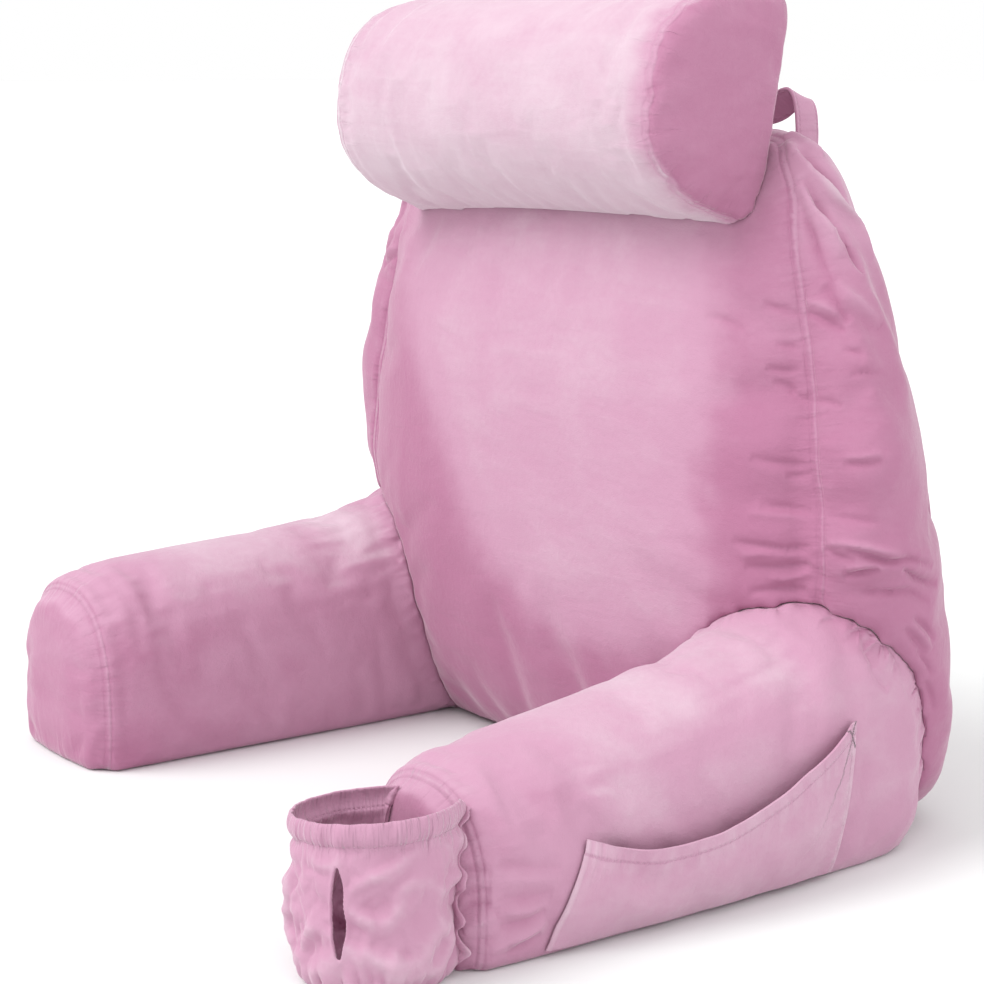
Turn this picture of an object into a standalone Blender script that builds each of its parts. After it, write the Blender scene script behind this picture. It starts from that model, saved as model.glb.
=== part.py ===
"""Reading pillow with arms, in metres, +Z up, facing -Y, standing on z = 0.

The tables below are laid out from the plane of the back cushion's front seams (y = 0 there),
and PLACE moves the finished pillow so that the origin lies at the middle of its footprint.
Right is +X, the side of the pillow with the pocket and the pouch.
"""

from collections import namedtuple
from math import cos, exp, hypot, pi, radians, sin

import bmesh
import bpy
from mathutils import Matrix, Vector
from mathutils.bvhtree import BVHTree

# ---------------------------------------------------------------- driving dimensions
PLACE = Vector((-0.0047, 0.1290, 0.0))
SEAT_GAP = 0.0003          # cloth pieces that touch keep this apart
SEAT_BITE = 0.0012         # how far a sewn edge is sunk before its carrier is cut out of it
SHEET = 0.0025             # one layer of plush with its backing
CREASE = radians(50)       # cut and sewn edges sharper than this aren't shaded smooth

BACK_CROWN = 0.052         # front panel's swell ahead of its seams
REAR_CROWN = 0.018
BACK_HEART = 0.27          # height of the panels' middle
BACK_CORE = 0.080          # how far behind the front seams the filling's middle lies
CROWN_ACROSS, CROWN_TALL = 2.6, 3.0    # the swell falls off near the seams by these powers
CROWN_FULL = 0.62
BAND_FULL = 0.8            # the side band swells rounder the lower this is
LEFT_FULLER = 0.0145       # the left side band swells by up to this much more,
LEFT_HIGH = 2.6            # and most of all high up, the higher this is
SEAM_DEPTH = 0.004         # how far a sewn seam is drawn in

ROLL_HALF = 0.223          # neck roll, middle to the end cap's crown
ROLL_TALL = 0.176
ROLL_DEEP = 0.118
ROLL_LEAN = radians(10)
ROLL_FOOT = Vector((0.0, 0.021, 0.460))
ROLL_TILT = radians(1.4)   # its left end has sunk a little
ROLL_TAPER = 0.035         # and is this much fuller, as the right end is slimmer
ROLL_ROUND = 0.014         # radius of the D's two corners
ROLL_SQUARE = 2.5          # a superellipse's power for its front

STRAP_WIDE = 0.023
STRAP_Y = 0.100

POUCH_X, POUCH_Y = 0.293, -0.378
POUCH_R = 0.0535
POUCH_WRAP = radians(55)   # how far past a half circle each side turns back to the arm's end
POUCH_WALL = 0.003
CASING = 0.0055            # elastic casing's thickness
CASING_TALL = 0.013
SLIT_TURN = radians(-58)   # the upright slit, seen from the pouch's middle
SLIT_WIDE = 0.011
SLIT_THROUGH = 0.05        # length of the cut, well past both faces of the wall
SLIT_LOW, SLIT_HIGH = 0.026, 0.086

PLUSH = (0.62, 0.30, 0.45)

# Half of the back's outline, bottom middle to top middle. The front seam is at
# (x, front, z), the rear seam at (rear_x, rear, rear_z); out and up swell the side band,
# and a low skew brings the swell's crest towards the front seam.
Edge = namedtuple("Edge", "x z front rear_x rear_z rear out up skew")
BACK_EDGE = [
    Edge(0.000, 0.000, 0.022, 0.000, 0.000, 0.163, 0.000, -0.004, 1.0),
    Edge(0.110, 0.000, 0.022, 0.110, 0.000, 0.163, 0.000, -0.004, 1.0),
    Edge(0.215, 0.000, 0.021, 0.212, 0.000, 0.162, 0.010, -0.004, 1.2),
    Edge(0.262, 0.024, 0.014, 0.264, 0.024, 0.160, 0.034, -0.004, 1.5),
    Edge(0.275, 0.080, 0.005, 0.280, 0.080, 0.157, 0.048, 0.000, 1.5),
    Edge(0.278, 0.160, 0.000, 0.280, 0.160, 0.153, 0.058, 0.000, 1.0),
    Edge(0.278, 0.240, 0.001, 0.268, 0.240, 0.149, 0.068, 0.000, 0.62),
    Edge(0.276, 0.320, 0.004, 0.252, 0.318, 0.142, 0.068, 0.000, 0.54),
    Edge(0.268, 0.400, 0.011, 0.236, 0.396, 0.132, 0.046, 0.003, 0.54),
    Edge(0.254, 0.462, 0.019, 0.217, 0.452, 0.121, 0.028, 0.012, 0.60),
    Edge(0.226, 0.503, 0.027, 0.188, 0.492, 0.114, 0.020, 0.025, 0.70),
    Edge(0.175, 0.517, 0.031, 0.142, 0.505, 0.112, 0.007, 0.025, 0.85),
    Edge(0.085, 0.519, 0.032, 0.070, 0.507, 0.112, 0.000, 0.021, 1.0),
    Edge(0.000, 0.519, 0.032, 0.000, 0.507, 0.112, 0.000, 0.021, 1.0),
]

# An arm's cross-sections, front to rear: its middle, half width, lowest and highest point.
Slice = namedtuple("Slice", "y x half low high")
ARM_RIGHT = [
    Slice(-0.342, 0.276, 0.032, 0.028, 0.088),
    Slice(-0.338, 0.276, 0.055, 0.003, 0.109),
    Slice(-0.328, 0.275, 0.067, 0.000, 0.119),
    Slice(-0.319, 0.274, 0.070, 0.000, 0.124),
    Slice(-0.290, 0.272, 0.074, 0.000, 0.130),
    Slice(-0.215, 0.269, 0.077, 0.000, 0.141),
    Slice(-0.130, 0.267, 0.080, 0.000, 0.153),
    Slice(-0.045, 0.265, 0.082, 0.000, 0.173),
    Slice(0.020, 0.263, 0.082, 0.000, 0.197),
    Slice(0.055, 0.261, 0.081, 0.005, 0.194),
    Slice(0.082, 0.259, 0.074, 0.020, 0.172),
    Slice(0.098, 0.256, 0.058, 0.038, 0.148),
    Slice(0.106, 0.252, 0.028, 0.062, 0.118),
]
ARM_LEFT = [
    Slice(-0.343, -0.272, 0.036, 0.034, 0.106),
    Slice(-0.339, -0.272, 0.062, 0.004, 0.132),
    Slice(-0.328, -0.272, 0.0755, 0.000, 0.146),
    Slice(-0.319, -0.272, 0.079, 0.000, 0.152),
    Slice(-0.290, -0.271, 0.082, 0.000, 0.160),
    Slice(-0.215, -0.270, 0.083, 0.000, 0.166),
    Slice(-0.130, -0.268, 0.083, 0.000, 0.170),
    Slice(-0.045, -0.266, 0.083, 0.000, 0.180),
    Slice(0.020, -0.263, 0.082, 0.000, 0.197),
    Slice(0.055, -0.261, 0.081, 0.005, 0.194),
    Slice(0.082, -0.259, 0.074, 0.020, 0.172),
    Slice(0.098, -0.256, 0.058, 0.038, 0.148),
    Slice(0.106, -0.252, 0.028, 0.062, 0.118),
]
ARM_CAP_ROW = 2            # the row of the end cap's seam
ARM_SQUARE = 2.35          # a superellipse's power over the top, 2 is a plain ellipse
ARM_SQUARE_LOW = 3.4       # the same for the fuller underside
ARM_SINK = 0.030           # the floor flattens this much of its underside

# Neck roll: rings along its length, as a share of the full section.
RollRing = namedtuple("RollRing", "x size")
ROLL_END = [
    RollRing(1.000, 0.25), RollRing(0.993, 0.62), RollRing(0.975, 0.86), RollRing(0.952, 0.965),
    RollRing(0.938, 0.970), RollRing(0.915, 1.00), RollRing(0.650, 1.015), RollRing(0.250, 1.00),
]

# Handle: the right half of the strap's centre line, sunk end to middle. Past its two legs
# it leans back by so many degrees, its front edge up.
Bend = namedtuple("Bend", "x z lean")
STRAP_BENDS = [
    Bend(0.171, 0.478, 0), Bend(0.174, 0.520, 0), Bend(0.1735, 0.540, 3), Bend(0.1705, 0.5535, 10),
    Bend(0.1635, 0.5605, 24), Bend(0.153, 0.5580, 44), Bend(0.138, 0.5500, 57),
    Bend(0.115, 0.5462, 62), Bend(0.060, 0.5455, 62), Bend(0.000, 0.5455, 62),
]

# Side pocket on the right arm's outer side: mouth and foot heights along the arm,
# and how far the cloth stands off the arm halfway up.
Scoop = namedtuple("Scoop", "y foot_y mouth off")
SIDE_POCKET = [
    Scoop(-0.243, -0.278, 0.079, 0.000),
    Scoop(-0.224, -0.250, 0.072, 0.007),
    Scoop(-0.192, -0.208, 0.066, 0.011),
    Scoop(-0.155, -0.165, 0.067, 0.013),
    Scoop(-0.118, -0.124, 0.073, 0.013),
    Scoop(-0.082, -0.086, 0.085, 0.012),
    Scoop(-0.048, -0.052, 0.099, 0.010),
    Scoop(-0.018, -0.030, 0.113, 0.006),
    Scoop(0.001, -0.018, 0.121, 0.000),
]
POCKET_FOOT = 0.005
POCKET_OPENS = 0.625       # it stands off in full from this share of its height up

# Rear pocket: mouth height and stand-off across the rear panel, right half.
Flap = namedtuple("Flap", "share mouth off")
REAR_POCKET = [
    Flap(0.00, 0.300, 0.0100), Flap(0.50, 0.302, 0.0100),
    Flap(0.85, 0.307, 0.0080), Flap(1.015, 0.312, 0.0065),
]
REAR_POCKET_FOOT = 0.046
REAR_POCKET_OPENS = 0.77

# Round pouch from its rim down and in under: height, share of the plan, gather depth.
Gather = namedtuple("Gather", "z reach ruffle")
POUCH_ROWS = [
    Gather(0.1140, 0.970, 0.0008), Gather(0.1100, 1.000, 0.0012), Gather(0.1040, 1.000, 0.0012),
    Gather(0.0990, 0.955, 0.0022), Gather(0.0870, 1.000, 0.0034), Gather(0.0680, 1.010, 0.0036),
    Gather(0.0480, 1.000, 0.0036), Gather(0.0280, 0.985, 0.0034), Gather(0.0110, 0.940, 0.0026),
    Gather(0.0000, 0.830, 0.0010), Gather(0.0000, 0.450, 0.0), Gather(0.0000, 0.040, 0.0),
]
POUCH_TILT = 0.12          # the mouth slopes up by this much towards the outer side
POUCH_GATHERS = 11         # gathers from one sewn edge to the other
GATHER_DRIFT = (1.7, 9.0)  # how far, and how often, their spacing varies
GATHER_TWIST = 14.0        # how they lean as they run down, in radians for each metre
GATHER_HARMONIC = (0.5, 2.3)   # a finer set among them, its depth and pitch

# Main folds of the back: a straight crest (or, with a minus, a trough) on the unrolled cloth.
# reach is the way from the front seam, positive across the side band, negative over the
# front panel; side is 1 on the right and -1 on the left.
Fold = namedtuple("Fold", "side reach1 z1 reach2 z2 width rise")
FOLD_TAIL = 0.35           # what is left of a fold's rise at its two ends
BACK_FOLDS = [
    # pleats that fan out from the top corner down the side band
    Fold(1, 0.004, 0.512, 0.044, 0.300, 0.0085, -0.0060),
    Fold(1, 0.012, 0.515, 0.074, 0.330, 0.0090, 0.0065),
    Fold(1, 0.022, 0.515, 0.096, 0.350, 0.0085, -0.0065),
    Fold(1, 0.036, 0.512, 0.122, 0.370, 0.0090, 0.0055),
    Fold(1, 0.050, 0.505, 0.140, 0.400, 0.0090, -0.0045),
    # creases across the side band and out over the front panel's edge
    Fold(1, -0.045, 0.345, 0.070, 0.352, 0.0090, 0.0030),
    Fold(1, -0.060, 0.300, 0.085, 0.306, 0.0090, -0.0035),
    Fold(1, -0.050, 0.268, 0.110, 0.262, 0.0090, 0.0035),
    Fold(1, -0.040, 0.242, 0.130, 0.222, 0.0090, -0.0050),
    Fold(1, -0.025, 0.220, 0.120, 0.196, 0.0085, 0.0040),
    # the same on the left side, softer
    Fold(-1, 0.006, 0.512, 0.050, 0.320, 0.0090, -0.0040),
    Fold(-1, 0.018, 0.515, 0.085, 0.340, 0.0095, 0.0040),
    Fold(-1, 0.036, 0.512, 0.115, 0.360, 0.0095, -0.0030),
    Fold(-1, -0.045, 0.300, 0.070, 0.308, 0.0095, -0.0018),
    Fold(-1, -0.035, 0.236, 0.080, 0.222, 0.0095, -0.0022),
]


# ---------------------------------------------------------------- small helpers
def smooth_row(rows, at):
    """One row of a table, read between its rows by a Catmull-Rom curve."""
    last = len(rows) - 1
    at = min(max(at, 0.0), last)
    i = min(int(at), last - 1)
    t = at - i
    p0, p1, p2, p3 = (rows[max(i - 1, 0)], rows[i], rows[i + 1], rows[min(i + 2, last)])
    weights = (
        (-t + 2 * t**2 - t**3) / 2,
        (2 - 5 * t**2 + 3 * t**3) / 2,
        (t + 4 * t**2 - 3 * t**3) / 2,
        (t**3 - t**2) / 2,
    )
    return type(p1)(*(sum(w * p[k] for w, p in zip(weights, (p0, p1, p2, p3))) for k in range(len(p1))))


def spaced(rows, count, length):
    """Row positions that lie evenly along the curve, where length(a, b) is the way from row to row."""
    fine = 24 * (len(rows) - 1)
    samples = [smooth_row(rows, k / 24) for k in range(fine + 1)]
    way = [0.0]
    for a, b in zip(samples, samples[1:]):
        way.append(way[-1] + length(a, b))
    found, k = [], 0
    for i in range(count + 1):
        target = way[-1] * i / count
        while k < fine - 1 and way[k + 1] < target:
            k += 1
        found.append((k + (target - way[k]) / max(way[k + 1] - way[k], 1e-9)) / 24)
    return found


def power(value, exponent):
    """A signed power, for superellipses."""
    return (1 if value >= 0 else -1) * abs(value) ** exponent


def plush(name):
    """The short-pile plush that every piece is sewn from."""
    material = bpy.data.materials.new(name)
    material.use_nodes = True
    shader = material.node_tree.nodes["Principled BSDF"]
    shader.inputs["Base Color"].default_value = (*PLUSH, 1.0)
    shader.inputs["Roughness"].default_value = 0.9
    shader.inputs["Metallic"].default_value = 0.0
    return material


def finish(bm, name):
    """Close a mesh into a named object at the pillow's place, faces outwards, shaded smooth."""
    bmesh.ops.remove_doubles(bm, verts=bm.verts, dist=1e-5)
    bmesh.ops.dissolve_degenerate(bm, edges=bm.edges, dist=1e-6)
    bmesh.ops.triangulate(bm, faces=bm.faces)
    bmesh.ops.recalc_face_normals(bm, faces=bm.faces)
    mesh = bpy.data.meshes.new(name)
    bm.to_mesh(mesh)
    bm.free()
    mesh.shade_smooth()
    mesh.materials.append(plush(name))
    piece = bpy.data.objects.new(name, mesh)
    bpy.context.collection.objects.link(piece)
    return piece


def first_ring(bm, places):
    """A closed loop of edges through the places."""
    ring = bmesh.ops.create_circle(bm, segments=len(places), radius=1.0)["verts"]
    for vert, place in zip(ring, places):
        vert.co = place
    return ring


def next_ring(bm, ring, places):
    """Extrude the loop once, and put its new points at the places."""
    edges = [bm.edges.get(pair) for pair in zip(ring, ring[1:] + ring[:1])]
    made = set(bmesh.ops.extrude_edge_only(bm, edges=edges)["geom"])
    grown = [next(e.other_vert(v) for e in v.link_edges if e.other_vert(v) in made) for v in ring]
    for vert, place in zip(grown, places):
        vert.co = place
    return grown


def ring_solid(rings):
    """Join rings of places into one closed body, each end drawn together at its middle.

    Returns the mesh and its rings of points."""
    bm = bmesh.new()
    loops = [first_ring(bm, rings[0])]
    for places in rings[1:]:
        loops.append(next_ring(bm, loops[-1], places))
    for end in (loops[0], loops[-1]):
        middle = sum((v.co for v in end), Vector()) / len(end)
        edges = [bm.edges.get(pair) for pair in zip(end, end[1:] + end[:1])]
        face = bmesh.ops.edgeloop_fill(bm, edges=edges)["faces"]
        bmesh.ops.poke(bm, faces=face)["verts"][0].co = middle
    return bm, loops


def press_folds(bm, loops, marks, folds):
    """Raise each fold's crest, or sink its trough, along the surface's own normals.

    A mark gives a point's side, its way from the front seam and its height."""
    bm.normal_update()
    for loop, row in zip(loops, marks):
        for vert, (side, reach, z) in zip(loop, row):
            move = 0.0
            for fold in folds:
                if fold.side == side:
                    across, tall = fold.reach2 - fold.reach1, fold.z2 - fold.z1
                    held = ((reach - fold.reach1) * across + (z - fold.z1) * tall) / (across**2 + tall**2)
                    held = min(max(held, 0.0), 1.0)
                    away = hypot(reach - fold.reach1 - across * held, z - fold.z1 - tall * held)
                    taper = FOLD_TAIL + (1 - FOLD_TAIL) * sin(pi * held)
                    move += fold.rise * taper * exp(-((away / fold.width) ** 2) / 2)
            vert.co += vert.normal * move


def rest_on_floor(bm):
    for vert in bm.verts:
        vert.co.z = max(vert.co.z, 0.0)


def cut_clear(piece, carrier):
    """Cut the carrier, one gap fatter, out of the piece that is pressed against it."""
    cutter = carrier.copy()
    cutter.data = carrier.data.copy()
    cutter.name = piece.name + "_seat_cutter"
    bpy.context.collection.objects.link(cutter)
    fat = bmesh.new()
    fat.from_mesh(cutter.data)
    fat.normal_update()
    for vert in fat.verts:
        vert.co += vert.normal * (SEAT_GAP * min(vert.calc_shell_factor(), 1.5))
    fat.to_mesh(cutter.data)
    fat.free()
    cutter.hide_render = True
    cutter.display_type = "WIRE"
    cut = piece.modifiers.new("seat", "BOOLEAN")
    cut.operation = "DIFFERENCE"
    cut.object = cutter
    freeze(piece)
    bpy.data.objects.remove(cutter)


def freeze(piece):
    """Apply a piece's modifiers, and keep its cut edges crisp."""
    graph = bpy.context.evaluated_depsgraph_get()
    mesh = bpy.data.meshes.new_from_object(piece.evaluated_get(graph))
    mesh.set_sharp_from_angle(angle=CREASE)
    piece.modifiers.clear()
    piece.data = mesh


# ---------------------------------------------------------------- back cushion
AROUND_HALF = 48
FRONT_SHARES = (0.16, 0.34, 0.52, 0.68, 0.80, 0.89, 0.95, 0.985)
BAND_SHARES = (0.03, 0.09, 0.17, 0.25, 0.33, 0.41, 0.50, 0.60, 0.70, 0.80, 0.90)
REAR_SHARES = (0.97, 0.90, 0.74, 0.52, 0.28)
BAND_WIDE = 0.19           # side band, from seam to seam over its swell
SIDE_FROM = 0.20           # past this the seam counts as the outline's side
FOLDS_FROM = 0.19          # nearer the middle, the outline's rows carry no side folds


def back_edge_rows():
    """The seam rows all round the outline, anticlockwise seen from the front."""
    at = spaced(BACK_EDGE, AROUND_HALF, lambda a, b: hypot(b.x - a.x, b.z - a.z))
    right = [smooth_row(BACK_EDGE, k) for k in at]
    top = BACK_EDGE[-1].z
    extra = [LEFT_FULLER * sin(pi * min(abs(row.z) / top, 1.0) ** LEFT_HIGH) for row in right]
    left = [row._replace(x=-row.x, rear_x=-row.rear_x, out=-row.out - min(more, row.out))
            for row, more in zip(right[1:-1], extra[1:-1])]
    return right + left[::-1]


def side_seam(seam, z):
    """Where a panel's right seam passes a height."""
    right = [p for p in seam[: AROUND_HALF + 1] if p.x > SIDE_FROM]
    for low, high in zip(right, right[1:]):
        if z <= high.z:
            return low.lerp(high, max((z - low.z) / max(high.z - low.z, 1e-6), 0.0))
    return right[-1]


def panel_ring(seam, share, crown):
    """One ring of a panel at a share of the way out to its seams, swollen by its crown."""
    top = seam[AROUND_HALF].z
    places = []
    for edge in seam:
        z = BACK_HEART + (edge.z - BACK_HEART) * share
        x = edge.x * share
        seam_here = side_seam(seam, z)
        rise = abs(z - BACK_HEART) / (top - BACK_HEART if z > BACK_HEART else BACK_HEART)
        side = min(abs(x) / seam_here.x, 1.0)
        full = ((1 - side**CROWN_ACROSS) * (1 - min(rise, 1.0) ** CROWN_TALL)) ** CROWN_FULL
        places.append(Vector((x, seam_here.y + crown * full, z)))
    return places


def drawn_in(places, towards):
    return [p + (towards - p).normalized() * SEAM_DEPTH for p in places]


def build_back():
    rows = back_edge_rows()
    front = [Vector((r.x, r.front, r.z)) for r in rows]
    rear = [Vector((r.rear_x, r.rear, r.rear_z)) for r in rows]
    core = Vector((0.0, BACK_CORE, BACK_HEART))
    sides = [0 if abs(row.x) < FOLDS_FROM else (1 if row.x > 0 else -1) for row in rows]
    rings, marks = [], []
    for share in FRONT_SHARES:
        rings.append(panel_ring(front, share, -BACK_CROWN))
        reaches = [abs(p.x) - side_seam(front, p.z).x for p in rings[-1]]
        marks.append([(s, reach, p.z) for s, reach, p in zip(sides, reaches, rings[-1])])
    rings.append(drawn_in(front, core))
    marks.append([(s, 0.0, p.z) for s, p in zip(sides, front)])
    for share in BAND_SHARES:
        swells = [sin(pi * share**row.skew) ** BAND_FULL for row in rows]
        rings.append([f.lerp(r, share) + Vector((row.out, 0.0, row.up)) * swell
                      for f, r, row, swell in zip(front, rear, rows, swells)])
        marks.append([(s, share * BAND_WIDE, p.z) for s, p in zip(sides, rings[-1])])
    rings.append(drawn_in(rear, core))
    rings += [panel_ring(rear, share, REAR_CROWN) for share in REAR_SHARES]
    bm, loops = ring_solid(rings)
    press_folds(bm, loops, marks, BACK_FOLDS)
    rest_on_floor(bm)
    return finish(bm, "back_cushion")


# ---------------------------------------------------------------- arms
ARM_AROUND = 30


def arm_ring(row, drawn=0.0):
    """A round-topped section whose underside the floor flattens."""
    low = row.low - ARM_SINK
    middle, tall = (row.high + low) / 2, (row.high - low) / 2 - drawn
    half = row.half - drawn
    places = []
    for k in range(ARM_AROUND):
        turn = 2 * pi * (k + 0.5) / ARM_AROUND
        square = ARM_SQUARE if sin(turn) > 0 else ARM_SQUARE_LOW
        x = half * power(cos(turn), 2 / square)
        z = tall * power(sin(turn), 2 / square)
        places.append(Vector((row.x + x, row.y, middle + z)))
    return places


def build_arm(name, rows):
    halves = 2 * (len(rows) - ARM_CAP_ROW) - 1
    at = list(range(ARM_CAP_ROW)) + [ARM_CAP_ROW + k / 2 for k in range(halves)]
    rings = [arm_ring(smooth_row(rows, k), SEAM_DEPTH if k == ARM_CAP_ROW else 0.0) for k in at]
    bm = ring_solid(rings)[0]
    rest_on_floor(bm)
    return finish(bm, name)


# ---------------------------------------------------------------- neck roll
ROLL_FRONT = 26
ROLL_REAR = 6


def roll_outline():
    """The D section as (up, ahead): a round front from corner to corner, then a flat rear."""
    half = ROLL_TALL / 2
    front = []
    for k in range(ROLL_FRONT + 1):
        turn = pi * (k / ROLL_FRONT - 0.5)
        rise = half * power(sin(turn), 2 / ROLL_SQUARE)
        front.append((rise, ROLL_ROUND / 2 + ROLL_DEEP * power(cos(turn), 2 / ROLL_SQUARE)))
    rear = [((half - ROLL_ROUND) * (1 - 2 * k / ROLL_REAR), 0.0) for k in range(ROLL_REAR + 1)]
    return front + rear


def build_roll():
    up = Vector((0.0, sin(ROLL_LEAN), cos(ROLL_LEAN)))
    ahead = Vector((0.0, -cos(ROLL_LEAN), sin(ROLL_LEAN)))
    middle = ROLL_FOOT + up * ROLL_TALL / 2 + ahead * ROLL_DEEP / 2
    right_end = [ring._replace(x=ring.x * ROLL_HALF) for ring in ROLL_END]
    rings = []
    for ring in [r._replace(x=-r.x) for r in right_end] + right_end[::-1]:
        drop = Vector((ring.x, 0.0, ring.x * sin(ROLL_TILT)))
        size = ring.size * (1 - ROLL_TAPER * ring.x / ROLL_HALF)
        section = [up * rise + ahead * (reach - ROLL_DEEP / 2) for rise, reach in roll_outline()]
        rings.append([middle + drop + spot * size for spot in section])
    return finish(ring_solid(rings)[0], "neck_roll")


# ---------------------------------------------------------------- handle
def build_handle():
    right = [smooth_row(STRAP_BENDS, k / 2) for k in range(2 * len(STRAP_BENDS) - 1)]
    bends = right + [b._replace(x=-b.x) for b in right[-2::-1]]
    line = [Vector((b.x, STRAP_Y, b.z)) for b in bends]
    bm = bmesh.new()
    bmesh.ops.create_grid(bm, x_segments=len(line) - 1, y_segments=2, size=0.5)
    for vert in bm.verts:
        k = round((vert.co.x + 0.5) * (len(line) - 1))
        along = (line[min(k + 1, len(line) - 1)] - line[max(k - 1, 0)]).normalized()
        across = Vector((0.0, cos(radians(bends[k].lean)), -sin(radians(bends[k].lean))))
        across -= along * across.dot(along)
        vert.co = line[k] + across.normalized() * vert.co.y * STRAP_WIDE
    strap = finish(bm, "handle_strap")
    thicken(strap, SHEET, 0.0)
    return strap


def thicken(piece, thickness, offset):
    solid = piece.modifiers.new("cloth", "SOLIDIFY")
    solid.thickness = thickness
    solid.offset = offset
    solid.use_even_offset = True
    freeze(piece)


# ---------------------------------------------------------------- patches
OUTSIDE = 0.6              # a distance from the middle that is past every piece


def sunk(lift):
    """How far a patch is pressed into its carrier, less where it stands off."""
    return SEAT_BITE * (1 - min(lift / (2 * SEAT_BITE), 1.0))


def skin(carrier):
    """The carrier's surface, for laying a patch on it."""
    bm = bmesh.new()
    bm.from_mesh(carrier.data)
    tree = BVHTree.FromBMesh(bm)
    bm.free()
    return tree


def patch(name, across, up, place):
    """A sheet whose point at the shares u and v is place(u, v)."""
    bm = bmesh.new()
    bmesh.ops.create_grid(bm, x_segments=across, y_segments=up, size=0.5)
    for vert in bm.verts:
        vert.co = place(vert.co.x + 0.5, vert.co.y + 0.5)
    return finish(bm, name)


def build_side_pocket(arm):
    surface = skin(arm)
    last = len(SIDE_POCKET) - 1

    def place(u, v):
        row = smooth_row(SIDE_POCKET, u * last)
        y = row.foot_y + (row.y - row.foot_y) * v
        z = POCKET_FOOT + (row.mouth - POCKET_FOOT) * v
        hit = surface.ray_cast(Vector((OUTSIDE, y, z)), Vector((-1.0, 0.0, 0.0)))[0]
        lift = row.off * sin(pi / 2 * min(v / POCKET_OPENS, 1.0))
        return hit + Vector((lift - sunk(lift), 0.0, 0.0))

    pocket = patch("side_pocket", 26, 8, place)
    thicken(pocket, SHEET, 1.0)
    return pocket


def build_rear_pocket(back):
    surface = skin(back)
    rows = [flap._replace(share=-flap.share) for flap in REAR_POCKET[:0:-1]] + REAR_POCKET
    edge = [row for row in BACK_EDGE if 0.0 < row.rear_z < 0.4]

    def side(z):
        """Half the rear panel's width between its seams."""
        for a, b in zip(edge, edge[1:]):
            if z <= b.rear_z:
                t = max((z - a.rear_z) / (b.rear_z - a.rear_z), 0.0)
                return a.rear_x + (b.rear_x - a.rear_x) * t
        return edge[-1].rear_x

    def place(u, v):
        row = smooth_row(rows, u * (len(rows) - 1))
        z = REAR_POCKET_FOOT + (row.mouth - REAR_POCKET_FOOT) * v
        flare = 1 + max(abs(row.share) - 1, 0.0) * v
        x = min(max(row.share, -1.0), 1.0) * flare * side(z)
        hit = surface.ray_cast(Vector((x, OUTSIDE, z)), Vector((0.0, -1.0, 0.0)))[0]
        lift = row.off * min(v / REAR_POCKET_OPENS, 1.0) ** 1.5 * (1 - abs(row.share) ** 6 * (1 - v))
        return hit + Vector((0.0, lift - sunk(lift), 0.0))

    pocket = patch("rear_pocket", 26, 10, place)
    thicken(pocket, SHEET, 1.0)
    return pocket


# ---------------------------------------------------------------- round pouch
POUCH_ALONG = 56


def pouch_plan(share):
    """The way outwards from the pouch's middle, from one sewn edge round the front to the other."""
    turn = share * (pi + 2 * POUCH_WRAP) - POUCH_WRAP
    return Vector((cos(turn), -sin(turn), 0.0))


def build_pouch():
    last = len(POUCH_ROWS) - 1

    def place(u, v):
        row = POUCH_ROWS[round((1 - v) * last)]
        out = pouch_plan(u)
        drift = GATHER_DRIFT[0] * sin(GATHER_DRIFT[1] * u) + GATHER_TWIST * row.z
        phase = 2 * pi * POUCH_GATHERS * u + drift
        wave = row.ruffle * (sin(phase) + GATHER_HARMONIC[0] * sin(GATHER_HARMONIC[1] * phase + 1.0))
        spot = out * (POUCH_R * row.reach + wave)
        z = row.z * (1 + POUCH_TILT * spot.x / POUCH_ROWS[0].z)
        return Vector((POUCH_X + spot.x, POUCH_Y + spot.y, z))

    pouch = patch("round_pouch", POUCH_ALONG, last, place)
    rim = pouch.vertex_groups.new(name="casing")
    for vert in pouch.data.vertices:
        in_casing = vert.co.z > POUCH_ROWS[0].z - CASING_TALL
        rim.add([vert.index], 1.0 if in_casing else 0.0, "REPLACE")
    solid = pouch.modifiers.new("cloth", "SOLIDIFY")
    solid.thickness = CASING
    solid.offset = -1.0
    solid.vertex_group = "casing"
    solid.thickness_vertex_group = POUCH_WALL / CASING
    solid.use_even_offset = True
    freeze(pouch)
    cut_slit(pouch)
    return pouch


def cut_slit(pouch):
    """An upright slit with round ends, through the front of the wall."""
    bm = bmesh.new()
    bmesh.ops.create_cube(bm, size=1.0)
    tall = SLIT_HIGH - SLIT_LOW
    bmesh.ops.scale(bm, verts=bm.verts, vec=(SLIT_THROUGH, SLIT_WIDE, tall))
    through = [e for e in bm.edges if abs((e.verts[0].co - e.verts[1].co).x) > SLIT_WIDE]
    bmesh.ops.bevel(bm, geom=through, offset=SLIT_WIDE * 0.45, segments=3, affect="EDGES")
    spin = Matrix.Rotation(SLIT_TURN, 4, "Z")
    middle = Vector((POUCH_X, POUCH_Y, (SLIT_HIGH + SLIT_LOW) / 2)) + spin @ Vector((POUCH_R, 0.0, 0.0))
    bmesh.ops.transform(bm, matrix=Matrix.Translation(middle) @ spin, verts=bm.verts)
    cutter = finish(bm, "slit_cutter")
    cutter.hide_render = True
    cutter.display_type = "WIRE"
    cut = pouch.modifiers.new("slit", "BOOLEAN")
    cut.operation = "DIFFERENCE"
    cut.object = cutter
    freeze(pouch)
    bpy.data.objects.remove(cutter)


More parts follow.
